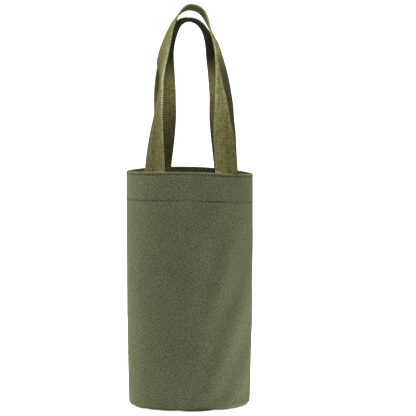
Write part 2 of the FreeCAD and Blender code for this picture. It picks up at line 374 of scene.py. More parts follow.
class StageSettings(bpy.types.PropertyGroup):
    """Floor, light and camera"""

    floor: FloatVectorProperty(
        name="Floor", description="Colour of the floor and backdrop", default=(0.93, 0.93, 0.93), **COLOUR)
    ambient: FloatProperty(
        name="Ambient", description="Strength of the even light from behind", default=1.05)
    floor_light: FloatProperty(
        name="Floor light", description="Strength of the light that the floor throws back up", default=0.45)
    glow: FloatProperty(
        name="Paper glow", description="How brightly the backdrop is lit from behind", default=0.72)
    left: FloatProperty(
        name="Left light", description="Power of the soft light at the left", default=75.0, **POWER)
    right: FloatProperty(
        name="Right light", description="Power of the soft light at the right", default=30.5, **POWER)
    front: FloatProperty(
        name="Front light", description="Power of the soft light over the camera", default=221.0, **POWER)
    left_bounce: FloatProperty(
        name="Left bounce", description="Power of the light off the table at the left",
        default=0.24, **POWER)
    right_bounce: FloatProperty(
        name="Right bounce", description="Power of the light off the table at the right",
        default=0.36, **POWER)
    front_bounce: FloatProperty(
        name="Front bounce", description="Power of the light off the table in front",
        default=0.009, **POWER)
    lens: FloatProperty(
        name="Lens", description="Focal length of the camera in millimetres", default=201.6)


class CarrierSettings(bpy.types.PropertyGroup):
    """All sizes, colours and lights of the carrier"""

    canvas: PointerProperty(type=CanvasSettings)
    webbing: PointerProperty(type=WebbingSettings)
    tape: PointerProperty(type=TapeSettings)
    thread: PointerProperty(type=ThreadSettings)
    stage: PointerProperty(type=StageSettings)


def settings():
    """The carrier's settings in the open scene."""
    return bpy.context.scene.bottle_carrier


# Shape of the settled cloth

def ease(low, high, x):
    """0 up to low, 1 from high, and a smooth step between."""
    t = np.clip((x - low) / (high - low), 0.0, 1.0)
    return t * t * (3 - 2 * t)


def between(rise, fall, x):
    """1 between two spans and 0 outside them, with a smooth step over each span."""
    return ease(*rise, x) * (1 - ease(*fall, x))


def at_edge(edge, band, x):
    """0 inside a band that lies along an edge and 1 where the band is full, with a smooth step between."""
    return ease(edge - band[0], edge - band[1], x)


def near(x, width):
    """A smooth bump of height 1 round zero."""
    return np.exp(-((x / width) ** 2))


def wall_radius(height):
    """Outside radius of the canvas: tapered from the base, straight under the mouth."""
    share = np.clip((height - CORNER) / (BEND_HEIGHT - CORNER), 0.0, 1.0)
    return BASE_RADIUS + (MOUTH_RADIUS - BASE_RADIUS) * share


def hem_inside():
    """Radius of the inner face of the turned hem."""
    return MOUTH_RADIUS - 2 * settings().canvas.thickness - PLY_GAP


def slack_folds(angle, height):
    """How far the slanting folds stand out, and how much they face the light, from -1 to 1."""
    aside = (angle - FRONT_ANGLE) * MOUTH_RADIUS
    over = height - FOLD_STEEPENS
    climb = height - FOLD_STEEPENS_BY * (over + np.hypot(over, FOLD_STEEPENS_OVER))
    place = MOUTH_RADIUS * np.cos(angle) - FOLD_SLANT * climb - FOLD_START
    turn = 2 * math.pi * place / FOLD_SPACING
    here = between(*FOLDS_ROUND, aside) * between(*FOLDS_UP, height)
    return FOLD_DEPTH * here * np.sin(turn), here * np.cos(turn)


def settle(points):
    """Where sewn cloth comes to rest: soft waves and folds, a rim that dips, a puckered base edge."""
    canvas = settings().canvas
    x, y, z = np.moveaxis(np.asarray(points, float), -1, 0)
    angle = np.arctan2(y, x)
    radius = np.hypot(x, y)
    share = radius / MOUTH_RADIUS
    edge = ease(0.7, 0.95, share)
    in_bag = 1 - ease(BODY_HEIGHT, BODY_HEIGHT + STRAP_BEND, z)

    held_by_hem = 0.65 * ease(HOLD_HEIGHT, BEND_HEIGHT, z)
    slack = ease(0.0, SLACK_HEIGHT, z) * (1 - held_by_hem) * in_bag
    swell = sum(depth * np.cos(count * angle + start + turn * z) for count, depth, start, turn in WAVES)
    leftward = 0.3 + 0.7 * ease(-0.3, 1.0, -np.cos(angle))
    belly = canvas.belly * leftward * (1 - ease(BELLY_HEIGHT, BEND_HEIGHT, z)) * edge
    pucker = sum(depth * np.cos(count * angle + start) for count, depth, start in PUCKERS)
    drawn = pucker * (0.7 + 0.5 * near(angle - FRONT_ANGLE, 0.4))
    gather = canvas.base_gather * ease(-0.2, 1.0, np.cos(angle))
    seam_pull = near(z, GATHER_REACH) * (drawn - gather)
    moved = radius + share * (slack * swell + slack_folds(angle, z)[0] + belly + seam_pull)

    tilt = -canvas.rim_dip * x / MOUTH_RADIUS
    sag = -canvas.rim_sag * (np.cos(2 * angle) + 0.25) * edge
    lift = (tilt + sag) * ease(DIP_HEIGHT, BODY_HEIGHT, z) * in_bag
    lift = lift + edge * near(z, PUCKER_REACH) * (PUCKER_LIFT + 0.9 * pucker)
    return np.stack([moved * np.cos(angle), moved * np.sin(angle), z + lift], -1)


def upright(radius, angle, height):
    """Points at a radius, an angle about the bag's axis and a height."""
    radius, angle, height = np.broadcast_arrays(radius, angle, height)
    return np.stack([radius * np.cos(angle), radius * np.sin(angle), height], -1)


def ring_steps(count):
    """Even turns round a ring, from zero."""
    return np.arange(count) * 2 * math.pi / count


# Meshes

def run(start, end, count):
    """Evenly spaced points on a straight line, without its last point."""
    share = np.linspace(0, 1, count, endpoint=False)[:, None]
    return np.asarray(start) * (1 - share) + np.asarray(end) * share


def bow(centre, radii, begin, end, count):
    """Evenly spaced points on a round bend, without its last point; the angles are in degrees."""
    angle = np.radians(np.linspace(begin, end, count, endpoint=False))
    return np.asarray(centre) + np.stack([radii[0] * np.cos(angle), radii[1] * np.sin(angle)], -1)


def both_faces(path, thickness):
    """The two faces of a cloth that follows a path in a section: face side, wrong side."""
    along = np.gradient(path, axis=0)
    along /= np.linalg.norm(along, axis=1, keepdims=True)
    side = np.stack([along[:, 1], -along[:, 0]], -1) * thickness / 2
    return path + side, path - side


def path_length(points):
    """Distance along a row of points, from its first point."""
    steps = np.linalg.norm(np.diff(points, axis=0), axis=1)
    return np.concatenate([[0.0], np.cumsum(steps)])


def flat_map(columns, rows):
    """The map of a cloth whose columns and rows lie at distances across it and along it."""
    return np.stack(np.broadcast_arrays(columns[None, :], rows[:, None]), -1)


def closed(values):
    """A ring of values with its first one again at its end."""
    return np.append(values, values[0])


def signed_volume(mesh):
    """Volume inside a mesh, negative if its faces point inwards."""
    mesh.calc_loop_triangles()
    points = np.empty(len(mesh.vertices) * 3, np.float32)
    mesh.vertices.foreach_get("co", points)
    corners = np.empty(len(mesh.loop_triangles) * 3, np.int32)
    mesh.loop_triangles.foreach_get("vertices", corners)
    a, b, c = np.moveaxis(points.reshape(-1, 3).astype(float)[corners.reshape(-1, 3)], 1, 0)
    return float((a * np.cross(b, c)).sum() / 6)


def sheet_mesh(name, grid, uv, round_rows, round_columns, marks=None):
    """A mesh of quads through a grid of points, closed along its rows or columns or capped."""
    rows, columns = grid.shape[:2]
    last_row = rows if round_rows else rows - 1
    last_column = columns if round_columns else columns - 1
    i, j = np.meshgrid(np.arange(last_row), np.arange(last_column), indexing="ij")
    corners = [(i, j), (i, j + 1), (i + 1, j + 1), (i + 1, j)]
    quads = np.stack([(a % rows) * columns + b % columns for a, b in corners], -1).reshape(-1, 4)
    places = np.stack([uv[a, b] for a, b in corners], 2).reshape(-1, 2)
    faces = quads.tolist()
    if round_columns and not round_rows:
        faces.append(list(range(columns))[::-1])
        faces.append([(rows - 1) * columns + k for k in range(columns)])
        places = np.concatenate([places, uv[0, :columns][::-1], uv[rows - 1, :columns]])
    mesh = bpy.data.meshes.new(name)
    mesh.from_pydata(grid.reshape(-1, 3).tolist(), [], faces)
    layer = mesh.uv_layers.new(name="cloth")
    layer.uv.foreach_set("vector", places.astype(np.float32).ravel())
    for key, values in (marks or {}).items():
        layer = mesh.attributes.new(key, "FLOAT", "POINT")
        layer.data.foreach_set("value", np.broadcast_to(values, (rows, columns)).astype(np.float32).ravel())
    return mesh


def placed(name, data):
    """A new object of the scene that holds a mesh, a light or a camera."""
    thing = bpy.data.objects.new(name, data)
    bpy.context.scene.collection.objects.link(thing)
    return thing


def finished(name, meshes, material=None):
    """One smooth object made of closed meshes, each with its faces pointing outwards."""
    work = bmesh.new()
    for mesh in meshes:
        if signed_volume(mesh) < 0:
            mesh.flip_normals()
        work.from_mesh(mesh)
        bpy.data.meshes.remove(mesh)
    bmesh.ops.remove_doubles(work, verts=work.verts, dist=1e-7)
    whole = bpy.data.meshes.new(name)
    work.to_mesh(whole)
    work.free()
    whole.shade_smooth()
    if material:
        whole.materials.append(material)
    return placed(name, whole)


def sew(piece, slot, *nodes):
    """Fastens a finished piece to the bag in place of its plain solids."""
    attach(piece, "bag")
    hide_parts(*nodes)


# Node trees

class Graph:
    """Adds linked nodes to a shader or geometry tree."""

    def __init__(self, tree):
        self.tree = tree

    def put(self, socket, value):
        """Links a value's socket to an input, or sets the input to a plain value."""
        if isinstance(value, bpy.types.NodeSocket):
            self.tree.links.new(value, socket)
        else:
            socket.default_value = value

    def add(self, kind, inputs=None, **choices):
        """A new node with its choices made and its inputs set or linked."""
        node = self.tree.nodes.new(kind)
        for name, value in choices.items():
            setattr(node, name, value)
        for key, value in (inputs or {}).items():
            self.put(node.inputs[key], value)
        return node

    def math(self, operation, *values):
        """The result of one step of arithmetic."""
        return self.add("ShaderNodeMath", dict(enumerate(values)), operation=operation).outputs[0]

    def times(self, first, second):
        """The product of two values."""
        return self.math("MULTIPLY", first, second)

    def total(self, *parts, start=0.0):
        """A start value plus values that are each a socket times a number."""
        result = start
        for socket, weight in parts:
            result = self.math("MULTIPLY_ADD", socket, weight, result)
        return result

    def humps(self, place, kind="SINE"):
        """Even humps from 0 to 1, one for each step of 1 in place."""
        return self.math("ABSOLUTE", self.math(kind, self.times(place, math.pi)))

    def vector(self, x, y, z=0.0):
        """A vector from three values."""
        return self.add("ShaderNodeCombineXYZ", {"X": x, "Y": y, "Z": z}).outputs[0]

    def noise(self, place, scale, detail=2.0):
        """Smooth noise from 0 to 1 at a place."""
        inputs = {"Vector": place, "Scale": scale, "Detail": detail}
        return self.add("ShaderNodeTexNoise", inputs).outputs[0]

    def lot(self, index):
        """A number from 0 to 1 drawn for each yarn."""
        return self.add("ShaderNodeTexWhiteNoise", {"W": index}, noise_dimensions="1D").outputs["Value"]

    def crossing_lot(self, warp, weft, layer):
        """A number from 0 to 1 drawn for each crossing of two yarns."""
        inputs = {"Vector": self.vector(warp, weft, layer)}
        return self.add("ShaderNodeTexWhiteNoise", inputs, noise_dimensions="3D").outputs["Value"]

    def blend(self, share, first, second):
        """A colour between two colours, for a share that is held between 0 and 1."""
        node = self.add("ShaderNodeMix", {0: share}, data_type="RGBA")
        for socket, value in ((node.inputs[6], first), (node.inputs[7], second)):
            self.put(socket, value if isinstance(value, bpy.types.NodeSocket) else (*value, 1.0))
        return node.outputs[2]

    def attribute(self, name):
        """A number that is stored on the mesh, for a material."""
        return self.add("ShaderNodeAttribute", attribute_name=name).outputs["Fac"]

    def stored(self, name, kind):
        """A value that is stored on the points, for a geometry tree."""
        return self.add("GeometryNodeInputNamedAttribute", {"Name": name}, data_type=kind).outputs[0]


# Materials

def cloth_shader(name, sheen, sheen_roughness, tint=(1.0, 1.0, 1.0)):
    """A new material, its graph and its shader, with the even part of its sheen set."""
    material = bpy.data.materials.new(name)
    material.use_nodes = True
    graph = Graph(material.node_tree)
    shader = material.node_tree.nodes["Principled BSDF"]
    shader.inputs["Sheen Weight"].default_value = sheen
    shader.inputs["Sheen Roughness"].default_value = sheen_roughness
    shader.inputs["Sheen Tint"].default_value = (*tint, 1.0)
    shader.inputs["Specular IOR Level"].default_value = 0.04
    return material, graph, shader


def cloth_place(graph):
    """The two directions of a cloth, in metres, from its own map."""
    place = graph.add("ShaderNodeUVMap", uv_map="cloth").outputs[0]
    parts = graph.add("ShaderNodeSeparateXYZ", {0: place})
    return place, parts.outputs[0], parts.outputs[1]


def finish_cloth(graph, shader, colour, roughness, height, depth, strength):
    """Joins colour, roughness and relief to a shader."""
    links = graph.tree.links
    links.new(colour, shader.inputs["Base Color"])
    links.new(roughness, shader.inputs["Roughness"])
    inputs = {"Strength": strength, "Distance": depth, "Height": height}
    links.new(graph.add("ShaderNodeBump", inputs).outputs[0], shader.inputs["Normal"])


Weave = namedtuple("Weave", ("height", "warp", "weft", "along_warp", "along_weft", "over"))


def plain_weave(graph, u, v, warp_pitch, weft_pitch):
    """A plain weave: its height, the number of each yarn, the way along it and where the warp shows."""
    a = graph.math("DIVIDE", u, warp_pitch)
    b = graph.math("DIVIDE", v, weft_pitch)
    warp = graph.math("FLOOR", a)
    weft = graph.math("FLOOR", b)

    def yarn(across, along, index, sign):
        crown = graph.math("SQRT", graph.humps(across))
        phase = graph.times(graph.total((along, 1.0), (index, 1.0), start=-0.5), math.pi)
        rise = graph.total((graph.math("COSINE", phase), 0.45 * sign), start=0.55)
        return graph.times(crown, rise)

    over = yarn(a, b, warp, 1)
    under = yarn(b, a, weft, -1)
    height = graph.math("MAXIMUM", over, under)
    return Weave(height, warp, weft, b, a, graph.math("GREATER_THAN", over, under))


def canvas_material():
    """Heavy cotton canvas: slubby plain weave, uneven dye, painted highlight on folds that face the light
    and on the lower edge, painted shade in needle holes, fold hollows and the mouth.
    """
    canvas = settings().canvas
    material, graph, shader = cloth_shader("olive_canvas", 0.14, 0.45, tint=(0.60, 0.62, 0.30))
    place, u, v = cloth_place(graph)
    stitch = graph.times(u, RING_STITCHES / (2 * math.pi * MOUTH_RADIUS))
    needle = graph.math("POWER", graph.humps(stitch, "COSINE"), 5.0)
    u = graph.total((graph.noise(place, 300.0), 2.8 * canvas.warp_pitch), start=u)
    v = graph.total((graph.noise(graph.vector(v, u), 320.0), 2.4 * canvas.weft_pitch), start=v)
    weave = plain_weave(graph, u, v, canvas.warp_pitch, canvas.weft_pitch)

    def yarn_shade(index, along, offset):
        slub = graph.vector(graph.times(index, 3.7), graph.times(along, 0.55), offset)
        tone = graph.lot(graph.math("ADD", index, offset))
        return graph.total((tone, 0.12), (graph.noise(slub, 1.0), 0.8))

    warp_shade = yarn_shade(weave.warp, weave.along_warp, 11.3)
    weft_shade = yarn_shade(weave.weft, weave.along_weft, 57.9)
    shade = graph.add("ShaderNodeMix", {0: weave.over, 2: weft_shade, 3: warp_shade}).outputs[0]
    dye = graph.noise(place, 28.0, 4.0)
    fleck = graph.noise(place, 620.0, 1.0)
    crossing = graph.crossing_lot(weave.warp, weave.weft, 2.0)
    cells = {"Vector": place, "Scale": 600.0, "Randomness": 0.55}
    nub = graph.add("ShaderNodeTexVoronoi", cells).outputs["Distance"]
    share = graph.total(
        (weave.height, 0.2), (weave.over, 0.3), (nub, -0.55), (crossing, 0.06), (shade, 0.15),
        (dye, 0.22), (fleck, 0.06), start=0.17)
    colour = graph.blend(share, canvas.dark, canvas.light)
    # Paler colour for the painted highlights and the scuffing
    rub_and_light = graph.times(graph.attribute("wear"), graph.total((weave.height, 0.45), (fleck, 0.5)))
    colour = graph.blend(rub_and_light, colour, canvas.worn_and_lit)
    # Painted shade in the needle holes of the rows, added to the darker lines and painted shade marked on
    # the mesh
    hole_shade = graph.times(needle, graph.times(graph.attribute("row"), graph.noise(place, 160.0)))
    soil = graph.total((graph.attribute("soil"), 0.75), (hole_shade, 3.0))
    colour = graph.blend(soil, colour, canvas.soiled_and_shaded)
    roughness = graph.total((weave.height, -0.12), start=0.97)
    relief = graph.total((weave.height, 0.75), (nub, -0.4), (shade, 0.2))
    finish_cloth(graph, shader, colour, roughness, relief, 0.45 * MM, 0.75)
    return material


def webbing_material():
    """Ribbed cotton webbing: warp columns over cross ribs, edges painted pale as highlights and partly
    scuffed, painted shade where marked.
    """
    webbing = settings().webbing
    material, graph, shader = cloth_shader("khaki_webbing", 0.03, 0.4, tint=(0.70, 0.67, 0.32))
    place, u, v = cloth_place(graph)
    weave = plain_weave(graph, u, v, webbing.column_width / 2, webbing.rib_pitch / 2)
    tone = graph.lot(weave.warp)
    stretched = graph.vector(graph.times(weave.warp, 3.1), graph.times(weave.along_warp, 0.21), 4.0)
    slub = graph.noise(stretched, 1.0)
    patch = graph.noise(place, 45.0, 3.0)
    rib = graph.attribute("rib")
    column = graph.math("ROUND", graph.math("DIVIDE", u, webbing.column_width))
    step = graph.times(graph.math("FLOORED_MODULO", column, 2.0), 0.5)
    row = graph.math("FLOOR", graph.math("ADD", graph.math("DIVIDE", v, webbing.rib_pitch), step))
    brick = graph.crossing_lot(column, row, 5.0)
    share = graph.total(
        (weave.height, 0.3), (rib, 1.55), (brick, 0.38), (tone, 0.25), (slub, 0.4), (patch, 0.3),
        start=-1.22)
    colour = graph.blend(share, webbing.dark, webbing.light)
    # Paler colour for the painted highlights and the scuffed ridge
    rub_and_light = graph.times(graph.attribute("wear"), graph.total((rib, 2.1), (brick, 0.4), start=-0.9))
    colour = graph.blend(rub_and_light, colour, webbing.worn_and_lit)
    # Painted shade, laid on in patches
    shade_patches = graph.total((patch, 0.3), (weave.height, 0.1), (rib, -0.1), start=0.85)
    colour = graph.blend(graph.times(graph.attribute("soil"), shade_patches), colour, webbing.painted_shade)
    roughness = graph.total((weave.height, -0.16), start=0.86)
    relief = graph.total((weave.height, 0.7), (slub, 0.3))
    finish_cloth(graph, shader, colour, roughness, relief, 0.3 * MM, 0.6)
    return material


def tape_material():
    """Cotton twill tape: fine slanting lines and an uneven dye."""
    tape = settings().tape
    material, graph, shader = cloth_shader("twill_tape", 0.3, 0.5)
    place, u, v = cloth_place(graph)
    line = graph.humps(graph.math("DIVIDE", graph.math("ADD", u, v), tape.twill))
    grain = graph.noise(place, 900.0)
    dye = graph.noise(place, 60.0, 3.0)
    share = graph.total((line, 0.45), (grain, 0.35), (dye, 0.4), start=-0.15)
    colour = graph.blend(share, tape.dark, tape.light)
    roughness = graph.total((line, -0.1), start=0.95)
    relief = graph.total((line, 0.8), (grain, 0.3))
    finish_cloth(graph, shader, colour, roughness, relief, 0.2 * MM, 0.6)
    return material


def thread_material(name, colour):
    """Twisted sewing thread: each stitch a little lighter or darker, fine fibre grain."""
    material, graph, shader = cloth_shader(name, 0.2, 0.4)
    place = graph.add("ShaderNodeTexCoord").outputs["Object"]
    grain = graph.noise(place, 2600.0)
    share = graph.total((graph.attribute("shade"), 0.6), (grain, 0.5))
    dark = [0.45 * part for part in colour]
    light = [1.55 * part for part in colour]
    roughness = graph.total((grain, -0.25), start=0.8)
    finish_cloth(graph, shader, graph.blend(share, dark, light), roughness, grain, 0.1 * MM, 0.5)
    return material


def backdrop_material():
    """Pale matt paper."""
    stage = settings().stage
    material, graph, shader = cloth_shader("pale_paper", 0.0, 0.5)
    place = graph.add("ShaderNodeTexCoord").outputs["Object"]
    grain = graph.noise(place, 35.0, 3.0)
    colour = graph.blend(grain, [0.985 * part for part in stage.floor], stage.floor)
    roughness = graph.total((grain, -0.1), start=0.95)
    shader.inputs["Emission Color"].default_value = (1.0, 1.0, 1.0, 1.0)
    shader.inputs["Emission Strength"].default_value = stage.glow
    finish_cloth(graph, shader, colour, roughness, grain, 0.2 * MM, 0.1)
    return material


# Geometry trees

def new_tree(name, numbers, material):
    """An empty geometry tree with named inputs, its graph and its inputs."""
    tree = bpy.data.node_groups.new(name, "GeometryNodeTree")
    tree.interface.new_socket("Geometry", in_out="INPUT", socket_type="NodeSocketGeometry")
    for key in numbers:
        tree.interface.new_socket(key, in_out="INPUT", socket_type="NodeSocketFloat")
    tree.interface.new_socket(material, in_out="INPUT", socket_type="NodeSocketMaterial")
    tree.interface.new_socket("Geometry", in_out="OUTPUT", socket_type="NodeSocketGeometry")
    graph = Graph(tree)
    return tree, graph, graph.add("NodeGroupInput").outputs


def close_tree(graph, geometry, material):
    """Ends a tree in real geometry that carries its material."""
    whole = graph.add("GeometryNodeRealizeInstances", {"Geometry": geometry})
    painted = graph.add("GeometryNodeSetMaterial", {"Geometry": whole.outputs[0], "Material": material})
    graph.add("NodeGroupOutput", {"Geometry": painted.outputs[0]})


def stitch_shape(graph, given):
    """One stitch of flat twisted thread that bows up in its middle and dips at its ends."""
    half = graph.times(given["Stitch Length"], 0.5)
    dip = graph.times(given["Thread Thickness"], -0.9)
    line = graph.add("GeometryNodeCurveQuadraticBezier", {
        "Resolution": 6,
        "Start": graph.vector(graph.times(half, -1.0), 0.0, dip),
        "Middle": graph.vector(0.0, 0.0, given["Bow"]),
        "End": graph.vector(half, 0.0, dip),
    })
    share = graph.add("GeometryNodeSplineParameter").outputs["Factor"]
    tilt = graph.times(share, graph.times(given["Twists"], 2 * math.pi))
    twisted = graph.add("GeometryNodeSetCurveTilt", {"Curve": line.outputs[0], "Tilt": tilt})
    ring = graph.add("GeometryNodeCurvePrimitiveCircle", {"Resolution": 6, "Radius": 0.5}, mode="RADIUS")
    wide = given["Thread Thickness"]
    size = graph.vector(wide, graph.times(wide, 0.68), wide)
    flat = graph.add("GeometryNodeTransform", {"Geometry": ring.outputs[0], "Scale": size})
    rope = graph.add("GeometryNodeCurveToMesh", {
        "Curve": twisted.outputs[0], "Profile Curve": flat.outputs[0], "Fill Caps": True})
    return graph.add("GeometryNodeSetShadeSmooth", {"Geometry": rope.outputs[0]}).outputs[0]


def stitch_tree():
    """Twisted thread stitches at marked points, each lying along the seam with its ends in the cloth."""
    numbers = ("Stitch Length", "Thread Thickness", "Bow", "Twists", "Variation", "Seed")
    tree, graph, given = new_tree("stitch_row", numbers, "Thread")

    def chance(low, high, offset):
        node = graph.add("FunctionNodeRandomValue", {2: low, 3: high}, data_type="FLOAT")
        graph.put(node.inputs["Seed"], graph.math("ADD", given["Seed"], offset))
        return node.outputs[1]

    more = given["Variation"]
    less = graph.times(more, -1.0)
    along = {"Vector": graph.stored("along", "FLOAT_VECTOR")}
    lie = graph.add("FunctionNodeAlignRotationToVector", along, axis="X")
    outward = {"Rotation": lie.outputs[0], "Vector": graph.stored("outward", "FLOAT_VECTOR")}
    stand = graph.add("FunctionNodeAlignRotationToVector", outward, axis="Z", pivot_axis="X")
    veer = {"Rotation": stand.outputs[0], "Rotate By": graph.vector(0.0, 0.0, chance(less, more, 1.0))}
    turned = graph.add("FunctionNodeRotateRotation", veer, rotation_space="LOCAL")
    longer = graph.math("ADD", 1.0, chance(less, more, 2.0))
    rows = graph.add("GeometryNodeInstanceOnPoints", {
        "Points": given["Geometry"], "Instance": stitch_shape(graph, given),
        "Rotation": turned.outputs[0], "Scale": graph.vector(longer, 1.0, 1.0)})
    shade = {"Geometry": rows.outputs[0], "Name": "shade", "Value": chance(0.0, 1.0, 3.0)}
    shaded = graph.add("GeometryNodeStoreNamedAttribute", shade, data_type="FLOAT", domain="INSTANCE")
    close_tree(graph, shaded.outputs[0], given["Thread"])
    return tree


def rib_tree():
    """Cross ribs of webbing, stepped from one warp column to the next, raised from a smooth ribbon."""
    tree, graph, given = new_tree("webbing_ribs", ("Rib Pitch", "Rib Depth", "Column Width"), "Webbing")
    column = graph.math("DIVIDE", graph.stored("across", "FLOAT"), given["Column Width"])
    odd = graph.math("FLOORED_MODULO", graph.math("ROUND", column), 2.0)
    slant = graph.times(graph.stored("selvage", "FLOAT"), graph.times(column, 0.6))
    row = graph.math("DIVIDE", graph.stored("along", "FLOAT"), given["Rib Pitch"])
    place = graph.math("ADD", row, slant)
    stepped = graph.humps(graph.total((odd, 0.5), start=place))
    level = graph.humps(place)
    crown = graph.humps(column, "COSINE")
    rib = graph.total((stepped, 0.42), (level, 0.24), (crown, 0.34))
    raised = graph.times(graph.math("SUBTRACT", rib, 0.6), given["Rib Depth"])
    normal = graph.add("GeometryNodeInputNormal").outputs[0]
    offset = graph.add("ShaderNodeVectorMath", {0: normal, "Scale": raised}, operation="SCALE").outputs[0]
    kept = graph.add("GeometryNodeStoreNamedAttribute", {
        "Geometry": given["Geometry"], "Name": "rib", "Value": rib}, data_type="FLOAT", domain="POINT")
    moved = graph.add("GeometryNodeSetPosition", {"Geometry": kept.outputs[0], "Offset": offset})
    close_tree(graph, moved.outputs[0], given["Webbing"])
    return tree


def grown(piece, tree, values):
    """Runs a geometry tree on a piece and keeps the result as its plain mesh."""
    modifier = piece.modifiers.new(tree.name, "NODES")
    modifier.node_group = tree
    for item in tree.interface.items_tree:
        if item.in_out == "INPUT" and item.name in values:
            modifier[item.identifier] = values[item.name]
    graph = bpy.context.evaluated_depsgraph_get()
    whole = piece.evaluated_get(graph)
    mesh = bpy.data.meshes.new_from_object(whole, preserve_all_data_layers=True, depsgraph=graph)
    piece.modifiers.clear()
    plain = piece.data
    piece.data = mesh
    bpy.data.meshes.remove(plain)
    mesh.name = piece.name
    if not mesh.polygons:
        raise RuntimeError(f"{piece.name} came out empty")
    return piece


# Canvas

def panel_path():
    """Middle line of the canvas from the base allowance, up the wall and over the hem."""
    half = settings().canvas.thickness / 2
    upturn = SEAM_RADIUS + half
    foot = upturn + CREASE
    outside = MOUTH_RADIUS - half
    inside = hem_inside() + half
    fold = (outside + inside) / 2
    fold_radius = outside - fold
    fold_rise = 0.6 * fold_radius
    fold_height = BODY_HEIGHT - half - fold_rise
    under_top = TOP_ROW - 2 * MM
    # Points lie closer where the hem row and the top row pull the wall in
    stops = (CORNER, HEM_ROW - 12 * MM, HEM_ROW - 3 * MM, HEM_ROW + 3 * MM, under_top, fold_height)
    counts = (66, 6, 15, 9, 9)
    heights = np.concatenate([np.linspace(*span, endpoint=False) for span in zip(stops, stops[1:], counts)])
    return np.concatenate([
        run((upturn, ALLOWANCE), (upturn, half + CREASE), 6),
        bow((foot, half + CREASE), (CREASE, CREASE), 180, 270, 5),
        bow((foot, CORNER), (BASE_RADIUS - half - foot, CORNER - half), 270, 360, 8),
        np.stack([wall_radius(heights) - half, heights], -1),
        bow((fold, fold_height), (fold_radius, fold_rise), 0, 180, 9),
        run((inside, fold_height), (inside, under_top), 6),
        run((inside, under_top), (inside, HEM_EDGE), 18),
        [(inside, HEM_EDGE)],
    ])


def stitch_pull(radius, height, arc):
    """How far rows of stitches and the side seam draw the face of the canvas in."""
    needle = np.arange(arc.shape[1]) % 2 == 0
    rows = near(height - HEM_ROW, ROW_WIDTH) + near(height - TOP_ROW, ROW_WIDTH)
    wall = (radius > wall_radius(height) - FACE_DEPTH) & (height > CORNER)
    groove = SEAM_GROOVE + GROOVE_WAVER * np.sin(height / GROOVE_WAVER_LENGTH)
    pucker = SEAM_PUCKER * np.sin(height / SEAM_PUCKER_LENGTH) * (height < BEND_HEIGHT)
    seam = groove * near(arc, SEAM_GROOVE_WIDTH) + pucker * near(arc, SEAM_PUCKER_WIDTH)
    return settings().canvas.stitch_groove * rows * needle + wall * seam


def canvas_marks(section, angle, arc):
    """Where the canvas is painted pale as highlight and dark as shade, with darker lines at the rim and
    side seam, and how clearly the painted shade in the rows of needle holes shows.
    """
    radius, height = section[:, :1], section[:, 1:]
    facing = (angle + math.pi) % (2 * math.pi) - math.pi
    lit = slack_folds(facing, height)[1]
    shadowed_front = near(facing - SHADOW_FRONT_AT, SHADOW_FRONT_REACH)
    patchy = 1.05 + 0.25 * np.sin(7 * angle + 0.4) + 0.2 * np.sin(17 * angle + 2.0)
    # Painted highlight on the roll of the lower edge, and a painted shadow line under its front
    base_roll_highlight = (1 - ease(*BASE_ROLL_HIGHLIGHT, height)) * (1 - shadowed_front)
    base_shadow_line = (1 - ease(*BASE_SHADOW_LINE, height)) * shadowed_front
    # A darker line along the rim fold, and painted shade inside the mouth that fades out under the hem
    rim = near(height - BODY_HEIGHT, RIM_LINE)
    mouth = 1 - ease(hem_inside(), MOUTH_RADIUS - MOUTH_DIM, radius)
    mouth = mouth * ease(HEM_EDGE - MOUTH_FADE, HEM_EDGE, height)
    # A darker line along the side seam
    seam = near(arc, SEAM_LINE) * (radius > WALL_FROM)
    # Painted shade in the fold hollows that face away from the light
    fold_shade = np.maximum(-lit, 0.0)
    # Darker lines at the rim and side seam, painted shade inside the mouth and in fold hollows, and a
    # painted shadow line under the front of the lower edge
    soil = 0.43 * rim + 0.78 * mouth + 0.5 * seam + 0.3 * base_shadow_line + 0.17 * fold_shade
    rows = near(height - HEM_ROW, HEM_HOLES) + near(height - TOP_ROW, TOP_HOLES)
    faint_in_front = 0.55 * near(facing - FRONT_ANGLE, 0.42)
    uneven = 1.0 - faint_in_front + 0.4 * np.sin(11 * angle + 0.7) * np.sin(5 * angle)
    return {
        # Painted highlight on the roll of the lower edge and on the folds that face the light
        "wear": np.clip(base_roll_highlight * patchy + 0.2 * lit, 0, 1),
        "soil": np.clip(soil, 0, 1),
        "row": rows * uneven,
    }


def canvas_tube():
    """The rolled canvas panel with its base corner, wall, rim fold and inner hem."""
    thickness = settings().canvas.thickness
    path = panel_path()
    length = path_length(path)
    face, wrong = both_faces(path, thickness)
    # The wrong side has every second row of points, and every row at the hem
    rows = len(path)
    inner_rows = np.union1d(np.arange(0, rows, 2), np.arange(rows - HEM_ROWS, rows))[::-1]
    section = np.concatenate([face, wrong[inner_rows]])
    along = np.concatenate([length, length[inner_rows]])
    turn = ring_steps(2 * RING_STITCHES)
    arc = np.minimum(turn, 2 * math.pi - turn)[None, :] * MOUTH_RADIUS
    outward = np.concatenate([face - wrong, np.zeros((len(inner_rows), 2))]) / thickness
    pull = stitch_pull(section[:, :1], section[:, 1:], arc)
    radius = section[:, :1] - pull * outward[:, :1]
    height = section[:, 1:] - pull * outward[:, 1:]
    angle = SIDE_SEAM + turn
    grid = settle(upright(radius, angle, height))
    uv = flat_map(np.append(turn, 2 * math.pi) * MOUTH_RADIUS, closed(along))
    return sheet_mesh("tube", grid, uv, True, True, canvas_marks(section, angle, arc))


def seam_frame(depth, aside, height):
    """Points beside the side seam: a depth in from the wall, a distance aside and a height."""
    depth, aside, height = np.broadcast_arrays(depth, aside, height)
    sway = SWAY * (depth / SWAY_DEPTH) ** 2 * np.sin(height / SWAY_LENGTH + 0.6)
    inset = (wall_radius(height) - depth)[..., None] * SEAM_OUTWARD
    flat = inset + (aside + sway)[..., None] * SEAM_ASIDE
    flat[..., 2] = height
    return settle(flat)


